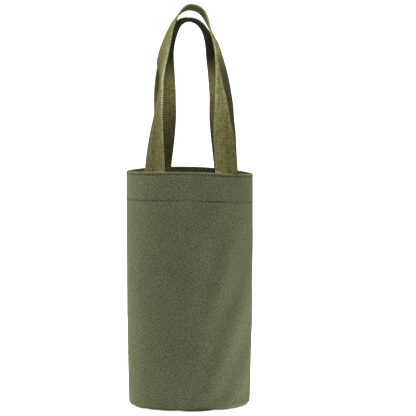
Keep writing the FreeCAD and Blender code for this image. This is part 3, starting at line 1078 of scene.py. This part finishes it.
def seam_heights(count):
    """Heights up the side seam allowances, from the base binding to the hem."""
    return np.linspace(ALLOWANCE + SEAM_FOOT, HEM_EDGE - PLY_GAP, count)


def side_allowance(side):
    """One of the two allowances that stand inside the side seam."""
    thickness = settings().canvas.thickness
    inner = SEAM_SLIT / 2
    steps = 7
    depth = np.linspace(SEAM_ROOT, ALLOWANCE + thickness, steps)
    section_depth = np.concatenate([depth, depth[::-1]])
    section_aside = side * np.repeat([inner, inner + thickness], steps)
    heights = seam_heights(70)
    grid = seam_frame(section_depth[None, :], section_aside[None, :], heights[:, None])
    run_round = path_length(np.stack([section_depth, section_aside], -1))
    plain = {"wear": 0.0, "soil": 0.0, "row": 0.0}
    return sheet_mesh("allowance", grid, flat_map(closed(run_round), heights), False, True, plain)


class CARRIER_OT_canvas_body(bpy.types.Operator):
    """Rolls, hems and seams the canvas panel of the body"""

    bl_idname = "carrier.canvas_body"
    bl_label = "Canvas body"

    def execute(self, context):
        meshes = [canvas_tube(), side_allowance(1), side_allowance(-1)]
        piece = finished("canvas_body", meshes, canvas_material())
        sew(piece, "canvas", "body_panel")
        return {"FINISHED"}


def base_path():
    """Middle line of the canvas base from its centre to its upturned edge."""
    half = settings().canvas.thickness / 2
    edge = SEAM_RADIUS - PLY_GAP - half
    return np.concatenate([
        run((0.0, half), (edge - CREASE, half), 26),
        bow((edge - CREASE, half + CREASE), (CREASE, CREASE), 270, 360, 5),
        run((edge, half + CREASE), (edge, ALLOWANCE), 6),
        [(edge, ALLOWANCE)],
    ])


def base_mesh():
    """The round base, a little raised in its middle, scuffed pale along its lower edge."""
    path = base_path()
    under, top = both_faces(path, settings().canvas.thickness)
    under[0, 0] = top[0, 0] = 0.0
    section = np.concatenate([under, top[::-1]])
    edge = path[-1, 0]
    angle = SIDE_SEAM + ring_steps(2 * BASE_STITCHES)
    crown = BASE_CROWN * np.maximum(1 - (section[:, 0] / edge) ** 2, 0)
    height = section[:, 1] + np.repeat([0.25, 1.0], len(path)) * crown
    grid = settle(upright(section[:, :1], angle, height[:, None]))
    length = path_length(path)
    flat = upright(np.concatenate([length, length[::-1]])[:, None], angle, 0.0)
    uv = np.concatenate([flat, flat[:, :1]], 1)[..., :2]
    wear = 0.4 * near(section[:, 0] - edge, BASE_WEAR) * (section[:, 1] < BASE_WEAR)
    marks = {"wear": wear[:, None], "soil": 0.0, "row": 0.0}
    return sheet_mesh("disc", grid, uv, False, True, marks)


class CARRIER_OT_canvas_base(bpy.types.Operator):
    """Cuts the round canvas base and turns its edge up inside the body"""

    bl_idname = "carrier.canvas_base"
    bl_label = "Canvas base"

    def execute(self, context):
        piece = finished("canvas_base", [base_mesh()], bpy.data.materials["olive_canvas"])
        sew(piece, "canvas", "base_disc")
        return {"FINISHED"}


# Tape

def folded_tape(low, high, foot, crown):
    """Section of a tape folded over an edge, first up one side and then down the other, and its length."""
    middle = (low + high) / 2
    reach = (high - low) / 2
    path = np.concatenate([
        run((low, foot), (low, crown - reach), 6),
        bow((middle, crown - reach), (reach, reach), 180, 0, 8),
        run((high, crown - reach), (high, foot), 6),
        [(high, foot)],
    ])
    left, right = both_faces(path, settings().tape.thickness)
    length = path_length(path)
    return np.concatenate([left, right[::-1]]), np.concatenate([length, length[::-1]])


def base_tape():
    """Tape round the upright allowances of the base seam."""
    tape = settings().tape
    canvas = settings().canvas.thickness
    slack = TAPE_SEAT + tape.thickness / 2
    inner = SEAM_RADIUS - PLY_GAP - canvas - slack
    outer = SEAM_RADIUS + canvas + slack
    foot = ALLOWANCE - tape.leg
    section, length = folded_tape(inner, outer, foot, ALLOWANCE + slack)
    turn = ring_steps(2 * BASE_STITCHES)
    angle = SIDE_SEAM + turn
    at_foot = near(section[:, 1:] - foot, BASE_RIPPLE_REACH)
    ripple = BASE_RIPPLE_DEPTH * np.sin(BASE_RIPPLES * angle) * at_foot
    grid = settle(upright(section[:, :1] + ripple, angle, section[:, 1:]))
    uv = flat_map(np.append(turn, 2 * math.pi) * SEAM_RADIUS, closed(length))
    return sheet_mesh("tape", grid, uv, True, True)


def side_tape():
    """Tape up the allowances of the side seam."""
    tape = settings().tape
    canvas = settings().canvas.thickness
    slack = TAPE_SEAT + tape.thickness / 2
    aside = canvas + SEAM_SLIT / 2 + slack
    tip = ALLOWANCE + canvas
    section, length = folded_tape(-aside, aside, tip - tape.leg, tip + slack)
    across, depth = section.T[:, None, :]
    heights = seam_heights(86)
    at_foot = near(depth - tip + tape.leg, SIDE_RIPPLE_REACH)
    ripple = SIDE_RIPPLE_SHARE * np.sin(heights / SIDE_RIPPLE_LENGTH)[:, None] * at_foot
    grid = seam_frame(depth, across * (1 + ripple), heights[:, None])
    return sheet_mesh("tape", grid, flat_map(closed(length), heights), False, True)


class CARRIER_OT_seam_tape(bpy.types.Operator):
    """Folds binding tape over the allowances of the base and side seams"""

    bl_idname = "carrier.seam_tape"
    bl_label = "Seam tape"

    def execute(self, context):
        material = tape_material()
        sew(finished("base_tape", [base_tape()], material), "binding_tape", "base_seam_binding")
        sew(finished("side_tape", [side_tape()], material), "binding_tape", "side_seam_binding")
        return {"FINISHED"}


# Webbing

def pulled(a, b, c, d, t):
    """A cubic curve from a to d, pulled by b and c, and its slope."""
    s = 1 - t
    value = a * s**3 + 3 * b * s * s * t + 3 * c * s * t * t + d * t**3
    slope = 3 * ((b - a) * s * s + 2 * (c - b) * s * t + (d - c) * t * t)
    return value, slope


def smooth_through(stations, t):
    """A smooth curve through (place, value) stations."""
    places, values = zip(*stations)
    last = len(stations) - 1
    k = next(i for i in range(last) if t <= places[i + 1] or i == last - 1)

    def slope(i):
        before, after = max(i - 1, 0), min(i + 1, last)
        return (values[after] - values[before]) / (places[after] - places[before])

    span = places[k + 1] - places[k]
    leave = values[k] + slope(k) * span / 3
    arrive = values[k + 1] - slope(k + 1) * span / 3
    return pulled(values[k], leave, arrive, values[k + 1], (t - places[k]) / span)[0]


def seat_distance():
    """Distance from the bag's axis to the middle of a sewn strap end."""
    webbing = settings().webbing
    face = math.sqrt((hem_inside() - WEBBING_SEAT) ** 2 - (webbing.width / 2) ** 2)
    return face - webbing.thickness / 2


class Strap:
    """One handle's webbing, from the tail of its left leg over the crown to the tail of its right."""

    leg_pull = 85.0 * MM
    crown_pull = 23.0 * MM

    def __init__(self, outward, height, lean, foot_pull, rub_and_light, inner_shade_and_rim_light, legs):
        self.outward = outward
        self.height = height
        self.foot_pull = foot_pull
        self.rub_and_light = rub_and_light
        self.inner_shade_and_rim_light = inner_shade_and_rim_light
        self.legs = legs
        self.rise = np.array([0.0, -outward * math.sin(lean), math.cos(lean)])
        self.outside = np.array([0.0, outward * math.cos(lean), math.sin(lean)])

    def leg(self, side, t):
        """Middle, width direction, outer face direction and turn at a share of one leg."""
        middle = seat_distance()
        spread, inward = pulled(middle * math.sin(STRAP_AZIMUTH), self.foot_pull, self.crown_pull, 0.0, t)
        drift = smooth_through(self.legs[side].drifts, t) * MM
        climb, upward = pulled(0.0, self.leg_pull, self.height, self.height, t)
        away = np.array([side * upward, 0.0, 0.0]) - self.rise * inward
        away /= np.linalg.norm(away)
        turn = math.radians(smooth_through(self.legs[side].turns, t))
        face = away * math.cos(turn) + self.outside * math.sin(turn)
        across = self.outside * math.cos(turn) - away * math.sin(turn)
        level = ease(0.0, 0.5, t)
        depth = middle * (math.cos(self.azimuth(side)) * (1 - level) + math.cos(STRAP_AZIMUTH) * level)
        foot = np.array([side * spread + drift, self.outward * depth, BODY_HEIGHT])
        return foot + self.rise * climb, across, face, [turn]

    def azimuth(self, side):
        """How far round from the front or back a leg's foot is sewn."""
        drift = side * self.legs[side].drifts[0][1] * MM
        return math.asin(math.sin(STRAP_AZIMUTH) + drift / seat_distance())

    def seat(self, side, height):
        """The same as for a leg, where its end lies flat inside the hem at a height."""
        azimuth = self.azimuth(side)
        face = np.array([side * math.sin(azimuth), self.outward * math.cos(azimuth), 0.0])
        across = np.array([-side * math.cos(azimuth), self.outward * math.sin(azimuth), 0.0])
        turn = math.radians(self.legs[side].turns[0][1])
        return seat_distance() * face + np.array([0.0, 0.0, height]), across, face, [turn]

    def seat_angle(self, side):
        """Angle about the bag's axis at which a strap end is sewn."""
        centre = self.seat(side, 0.0)[0]
        return math.atan2(centre[1], centre[0])

    def line(self, step):
        """Middles, width directions, face directions and turns, evenly spaced along the whole strap."""
        shares = np.linspace(0, 1, LEG_STATIONS)
        tails = np.linspace(BODY_HEIGHT - SEWN_LENGTH, BODY_HEIGHT, TAIL_STATIONS, endpoint=False)
        stations = [self.seat(LEFT, z) for z in tails]
        stations += [self.leg(LEFT, t) for t in shares]
        stations += [self.leg(RIGHT, t) for t in shares[-2::-1]]
        stations += [self.seat(RIGHT, z) for z in tails[::-1]]
        middle, across, face, turn = (np.array(column) for column in zip(*stations))
        length = path_length(middle)
        even = np.linspace(0, length[-1], round(length[-1] / step) + 1)

        def resampled(rows):
            return np.stack([np.interp(even, length, column) for column in rows.T], -1)

        middle, across, face, turn = map(resampled, (middle, across, face, turn))
        across /= np.linalg.norm(across, axis=1, keepdims=True)
        face -= across * (face * across).sum(1, keepdims=True)
        face /= np.linalg.norm(face, axis=1, keepdims=True)
        return even, middle, across, face, turn[:, 0]

    def of_leg(self, key, even):
        """A value of the leg that each place along the strap belongs to."""
        return np.where(even < even[-1] / 2, getattr(self.legs[LEFT], key), getattr(self.legs[RIGHT], key))

    def curl(self, even, climb, turn, x):
        """How the section bends at places across it: shift across, shift along the face, and tilt."""
        half = settings().webbing.width / 2
        upward = np.where(even < even[-1] / 2, -1, 1)
        slant = upward * self.of_leg("slant", even) * between(*TWISTED, climb)
        share = np.clip((even - CUP_FROM_TAIL) / (even[-1] - 2 * CUP_FROM_TAIL), 0, 1)
        bend = 2 * self.of_leg("cup", even) / half**2 * np.sin(2 * math.pi * share) ** 2
        fine = np.linspace(-half, half, 2 * CURL_STEPS + 1)
        lower = even[:, None] + slant[:, None] * fine
        tilt = np.interp(lower, even, turn) - turn[:, None] + bend[:, None] * fine
        step = half / CURL_STEPS
        aside = np.cumsum(np.cos(tilt), 1) * step
        back = -np.cumsum(np.sin(tilt), 1) * step
        shifts = (rows - rows[:, CURL_STEPS:CURL_STEPS + 1] for rows in (aside, back))
        index = np.clip(np.searchsorted(fine, x) - 1, 0, 2 * CURL_STEPS - 1)
        share = np.clip((x - fine[index]) / step, 0, 1)
        return [rows[:, index] * (1 - share) + rows[:, index + 1] * share for rows in (*shifts, tilt)]


def straps():
    """The front and the back strap."""
    webbing = settings().webbing
    # The front strap carries painted highlights and painted shade behind its slanting crest; the back strap
    # carries painted shade inside its loop and a painted rim highlight on its far edge
    return {
        "front": Strap(
            FRONT, webbing.front_height, webbing.front_lean, foot_pull=26.0 * MM, rub_and_light=1.0, inner_shade_and_rim_light=0.0,
            legs=FRONT_LEGS),
        "back": Strap(
            BACK, webbing.back_height, webbing.back_lean, foot_pull=22.5 * MM, rub_and_light=0.1, inner_shade_and_rim_light=0.85,
            legs=BACK_LEGS),
    }


def webbing_section():
    """Round-edged section of the webbing: place across it and height over its middle."""
    webbing = settings().webbing
    half = webbing.thickness / 2
    flat = webbing.width / 2 - half
    count = len(np.arange(-flat, flat + 0.01 * MM, webbing.column_width / 2))
    top = np.linspace(-flat, flat, count)
    edge = np.radians([60, 30, 0, -30, -60])
    across = np.concatenate([top, flat + half * np.cos(edge), top[::-1], -flat - half * np.cos(edge)])
    cord = webbing.selvage * at_edge(flat, CORD_BAND, np.abs(top))
    over = np.concatenate([half + cord, (half + webbing.selvage) * np.sin(edge)])
    return across, np.concatenate([over, -over])


def webbing_marks(strap, even, climb, turn, tilt, x, y):
    """Where a strap is painted pale as highlight and partly scuffed, and where it is painted dark as shade,
    with its length and width for the ribs.
    """
    webbing = settings().webbing
    half = webbing.width / 2
    inside = ease(-0.3 * webbing.thickness, 0.1 * webbing.thickness, -y)
    crown = ease(*CROWN, climb)
    shaded = 1 - ease(*SHADED, climb)
    facing_front = ease(45.0, 70.0, np.degrees(turn))[:, None]
    # Painted highlight along the ridge of the inner edge, partly scuffing, fainter where the leg faces the
    # front; the face is also painted a little paler towards that edge
    ridge_light_height = 0.36 + 0.55 * near(climb - RIDGE_LIGHT_AT, RIDGE_LIGHT_REACH)
    ridge = (1 - 0.55 * facing_front) * ridge_light_height * at_edge(half, RIDGE_BAND, x)
    rubbed_and_lit = 0.17 * ease(-0.3 * half, half, x) + ridge
    turned = np.degrees(tilt.max(1, keepdims=True) - tilt)
    slanting = (strap.of_leg("slant", even)[:, None] > 0) * (1 - ease(*TWIST_FLATTENS, climb))
    # Painted highlight on the crest of a slanting twist
    crest = slanting * near(turned - 9.0, 6.0) * ease(*CREST_FROM, climb)
    # Painted shade behind the crest of a slanting twist
    shade_behind_crest = slanting * ease(12.0, 26.0, turned)
    # Painted highlight on the parts of the section that are tilted most, round the height where it is pale
    curled = near(climb - PALE_AT, PALE_REACH) * ease(0.25, 0.7, tilt - tilt.min(1, keepdims=True))
    # Painted rim highlight along the far edge
    far_edge = at_edge(half, FAR_BAND, -x)
    # All painted highlights: the ridge and the paler inner half of the face, the underside of the crown,
    # the curl and the crest
    pale = rubbed_and_lit * (1 - 0.8 * crown) + 0.35 * crown * inside + 0.1 * curled + 0.35 * crest
    # Painted shade on the inside of the loop, full over its upper legs, stronger near the rim and weaker at
    # the crown
    inner_shade = (ease(*INNER_SHADE_SPAN, climb) + 0.4 * shaded - 0.12 * crown + 0.1) * inside
    return {
        "along": even[:, None],
        "across": x,
        "selvage": at_edge(half, SELVAGE_BAND, np.abs(x)),
        # Painted highlights, with the painted rim highlight on the back strap's far edge
        "wear": strap.rub_and_light * pale + 0.25 * strap.inner_shade_and_rim_light * far_edge,
        # Painted shade inside the back loop, near the feet in the mouth and behind the crest of a slanting
        # twist
        "soil": strap.inner_shade_and_rim_light * inner_shade + 0.2 * shaded + 0.72 * strap.rub_and_light * shade_behind_crest,
    }


def webbing_ribbon(strap):
    """A smooth closed ribbon along a strap."""
    even, middle, across, face, turn = strap.line(settings().webbing.rib_pitch / 4)
    x, y = webbing_section()
    climb = middle[:, 2:] - BODY_HEIGHT
    aside, back, tilt = strap.curl(even, climb[:, 0], turn, x)
    grid = middle[:, None] + across[:, None] * (aside + y * np.sin(tilt))[..., None]
    grid = grid + face[:, None] * (back + y * np.cos(tilt))[..., None]
    marks = webbing_marks(strap, even, climb, turn, tilt, x, y)
    return sheet_mesh("ribbon", settle(grid), flat_map(closed(x), even), False, True, marks)


class CARRIER_OT_webbing_handles(bpy.types.Operator):
    """Weaves the two webbing handles and sews their ends inside the hem"""

    bl_idname = "carrier.webbing_handles"
    bl_label = "Webbing handles"

    def execute(self, context):
        webbing = settings().webbing
        tree = rib_tree()
        values = {
            "Rib Pitch": webbing.rib_pitch,
            "Rib Depth": webbing.rib_depth,
            "Column Width": webbing.column_width,
            "Webbing": webbing_material(),
        }
        for name, strap in straps().items():
            piece = grown(finished(f"{name}_webbing", [webbing_ribbon(strap)]), tree, values)
            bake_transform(piece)
            ends = [f"{name}_left_strap_end", f"{name}_right_strap_end"]
            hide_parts(f"{name}_handle_loop", *ends)
        return {"FINISHED"}


# Thread

def stitched(name, row, thread, node, scale=1.0):
    """Sews a row of stitches, given their points and the directions along the seam and out of the cloth."""
    points, along, outward = row
    size = settings().thread
    mesh = bpy.data.meshes.new(name)
    mesh.from_pydata(points.tolist(), [], [])
    for key, values in (("along", along), ("outward", outward)):
        layer = mesh.attributes.new(key, "FLOAT_VECTOR", "POINT")
        layer.data.foreach_set("vector", np.asarray(values, np.float32).ravel())
    piece = placed(name, mesh)
    tree = bpy.data.node_groups.get("stitch_row") or stitch_tree()
    grown(piece, tree, {
        "Stitch Length": size.length * scale,
        "Thread Thickness": size.thickness,
        "Bow": 0.75 * size.thickness,
        "Twists": 1.5,
        "Variation": 0.09,
        "Seed": float(size.seed),
        "Thread": thread,
    })
    sew(piece, "thread", node)


def joined(*rows):
    """Several rows of stitches as one."""
    return [np.concatenate(parts) for parts in zip(*rows)]


def ring_angles(count):
    """Middles of the stitches of a row that starts at the side seam."""
    return SIDE_SEAM + ring_steps(count) + math.pi / count


def round_row(radius, angle, height, facing):
    """Places and directions of stitches round the bag, facing out (1) or in (-1)."""
    along = upright(1.0, angle + math.pi / 2, 0.0)
    outward = upright(float(facing), angle, 0.0)
    return settle(upright(radius, angle, height)), along, outward


def inner_face(angle):
    """Radius of what a row meets inside the hem: the hem itself, or a strap end that covers it."""
    webbing = settings().webbing
    radius = np.full_like(angle, hem_inside())
    plane = seat_distance() - webbing.thickness / 2
    for strap in straps().values():
        for side in (LEFT, RIGHT):
            apart = angle - strap.seat_angle(side)
            covered = (np.abs(np.sin(apart) * plane) < webbing.width / 2) & (np.cos(apart) > 0)
            radius = np.where(covered, plane / np.cos(apart), radius)
    return radius


def through_hem(height, angle, outside):
    """A row of stitches through the hem, seen at a radius outside and on what covers it inside."""
    return joined(round_row(outside, angle, height, 1), round_row(inner_face(angle), angle, height, -1))


def base_row():
    """A row round the inner face of the base seam's tape."""
    tape = settings().tape
    bound = SEAM_RADIUS - PLY_GAP - settings().canvas.thickness - TAPE_SEAT - tape.thickness
    return round_row(bound, ring_angles(BASE_STITCHES), ALLOWANCE - tape.leg / 2, -1)


def side_row():
    """A row up both faces of the side seam's tape."""
    tape = settings().tape
    canvas = settings().canvas.thickness
    aside = canvas + SEAM_SLIT / 2 + TAPE_SEAT + tape.thickness
    depth = ALLOWANCE + canvas - tape.leg / 2
    heights = seam_heights(60)
    middles = (heights[1:] + heights[:-1]) / 2

    def one_face(side):
        points = seam_frame(depth, side * aside, middles)
        along = seam_frame(depth, side * aside, middles + 0.5 * MM) - points
        along /= np.linalg.norm(along, axis=1, keepdims=True)
        return points, along, np.tile(side * SEAM_ASIDE, (len(middles), 1))

    return joined(one_face(1), one_face(-1))


class CARRIER_OT_thread_rows(bpy.types.Operator):
    """Sews the rows along the rim, the hem, the base seam and the side seam"""

    bl_idname = "carrier.thread_rows"
    bl_label = "Thread rows"

    def execute(self, context):
        thread = thread_material("seam_thread", settings().thread.seam)
        angle = ring_angles(RING_STITCHES)
        groove = MOUTH_RADIUS - 0.4 * settings().canvas.stitch_groove
        stitched("top_edge_thread", through_hem(TOP_ROW, angle, groove), thread, "top_edge_stitches")
        stitched("hem_thread", through_hem(HEM_ROW, angle, groove), thread, "hem_stitches")
        stitched("base_seam_thread", base_row(), thread, "base_seam_stitches")
        stitched("side_seam_thread", side_row(), thread, "side_seam_stitches")
        return {"FINISHED"}


class CARRIER_OT_strap_tacks(bpy.types.Operator):
    """Tacks each strap end down with a short second row"""

    bl_idname = "carrier.strap_tacks"
    bl_label = "Strap tacks"

    def execute(self, context):
        thread = thread_material("tack_thread", settings().thread.tack)
        step = 2 * math.pi / RING_STITCHES
        places = (np.arange(TACK_STITCHES) - (TACK_STITCHES - 1) / 2) * step
        proud = MOUTH_RADIUS + 0.1 * MM
        for name, strap in straps().items():
            for side_name, side in (("left", LEFT), ("right", RIGHT)):
                row = through_hem(TACK_ROW, strap.seat_angle(side) + places, proud)
                end = f"{name}_{side_name}"
                stitched(f"{end}_tack_thread", row, thread, f"{end}_strap_tack", scale=1.1)
        return {"FINISHED"}


# Stage

def turned_to(thing, place, target):
    """Places a light or camera and points it at a target."""
    thing.location = place
    thing.rotation_euler = (Vector(target) - Vector(place)).to_track_quat("-Z", "Y").to_euler()


def soft_light(lamp, power):
    """A soft light that faces a point and is not seen itself."""
    light = bpy.data.lights.new(lamp.name, "AREA")
    light.shape = "RECTANGLE"
    light.size, light.size_y = lamp.size
    light.energy = power
    thing = placed(lamp.name, light)
    thing.visible_camera = False
    turned_to(thing, lamp.place, lamp.target)


def sky(scene):
    """Even light that is full overhead and behind, and comes back from the floor."""
    stage = settings().stage
    world = bpy.data.worlds.new("studio")
    world.use_nodes = True
    graph = Graph(world.node_tree)
    way = graph.add("ShaderNodeTexCoord").outputs["Generated"]
    _, behind, up = graph.add("ShaderNodeSeparateXYZ", {0: way}).outputs
    share = graph.add("ShaderNodeMapRange", {
        "Value": graph.total((up, 0.45), (behind, 0.75)),
        "From Min": -0.5, "From Max": 0.9, "To Min": 0.14, "To Max": stage.ambient}).outputs[0]
    below = graph.math("MAXIMUM", graph.times(up, -1.0), 0.0)
    strength = graph.total((below, stage.floor_light), start=share)
    background = world.node_tree.nodes["Background"]
    background.inputs["Color"].default_value = (1.0, 1.0, 1.0, 1.0)
    graph.put(background.inputs["Strength"], strength)
    scene.world = world


def paper_sweep():
    """Round floor of paper that curves up into a backdrop on every side."""
    floor = -0.2 * MM
    flat, bend, top = 3.4, 1.6, 4.0
    wall = flat + bend
    path = np.concatenate([
        run((0.0, floor), (flat, floor), 12),
        bow((flat, floor + bend), (bend, bend), 270, 360, 24),
        run((wall, floor + bend), (wall, top), 4),
    ])
    grid = upright(path[:, :1], ring_steps(72), path[:, 1:])
    uv = np.concatenate([grid, grid[:, :1]], 1)[..., :2]
    mesh = sheet_mesh("sweep", grid, uv, False, True)
    mesh.flip_normals()
    mesh.shade_smooth()
    mesh.materials.append(backdrop_material())
    sweep = placed("paper_sweep", mesh)
    sweep.visible_diffuse = False
    sweep.visible_glossy = False
    sweep.visible_shadow = False


class CARRIER_OT_stage(bpy.types.Operator):
    """Lays a pale sweep of paper, sets soft studio lights and places the camera"""

    bl_idname = "carrier.stage"
    bl_label = "Stage"

    def execute(self, context):
        stage = settings().stage
        scene = context.scene
        scene.view_settings.view_transform = "Standard"
        sky(scene)
        paper_sweep()
        for lamp in LAMPS:
            soft_light(lamp, getattr(stage, lamp.power))
        camera = bpy.data.cameras.new("camera")
        camera.sensor_width = 36.0
        camera.lens = stage.lens
        scene.camera = placed("camera", camera)
        turned_to(scene.camera, CAMERA_PLACE, CAMERA_AIM)
        return {"FINISHED"}


OPERATORS = (
    CARRIER_OT_canvas_body,
    CARRIER_OT_canvas_base,
    CARRIER_OT_seam_tape,
    CARRIER_OT_webbing_handles,
    CARRIER_OT_thread_rows,
    CARRIER_OT_strap_tacks,
    CARRIER_OT_stage,
)


class CARRIER_PT_panel(bpy.types.Panel):
    """Lists the pieces of the carrier and their sizes"""

    bl_idname = "CARRIER_PT_panel"
    bl_label = "Bottle carrier"
    bl_space_type = "VIEW_3D"
    bl_region_type = "UI"
    bl_category = "Carrier"

    def draw(self, context):
        for operator in OPERATORS:
            self.layout.operator(operator.bl_idname)
        for group in CarrierSettings.__annotations__:
            box = self.layout.box()
            box.label(text=group.capitalize())
            values = getattr(settings(), group)
            for key in values.__annotations__:
                box.prop(values, key)


CLASSES = (
    CanvasSettings,
    WebbingSettings,
    TapeSettings,
    ThreadSettings,
    StageSettings,
    CarrierSettings,
    *OPERATORS,
    CARRIER_PT_panel,
)


def register():
    for cls in CLASSES:
        bpy.utils.register_class(cls)
    bpy.types.Scene.bottle_carrier = PointerProperty(type=CarrierSettings)


def unregister():
    del bpy.types.Scene.bottle_carrier
    for cls in reversed(CLASSES):
        bpy.utils.unregister_class(cls)


def main():
    """Builds every piece."""
    register()
    bpy.ops.carrier.canvas_body()
    bpy.ops.carrier.canvas_base()
    bpy.ops.carrier.seam_tape()
    bpy.ops.carrier.webbing_handles()
    bpy.ops.carrier.thread_rows()
    bpy.ops.carrier.strap_tacks()
    bpy.ops.carrier.stage()


if __name__ == "__main__":
    main()
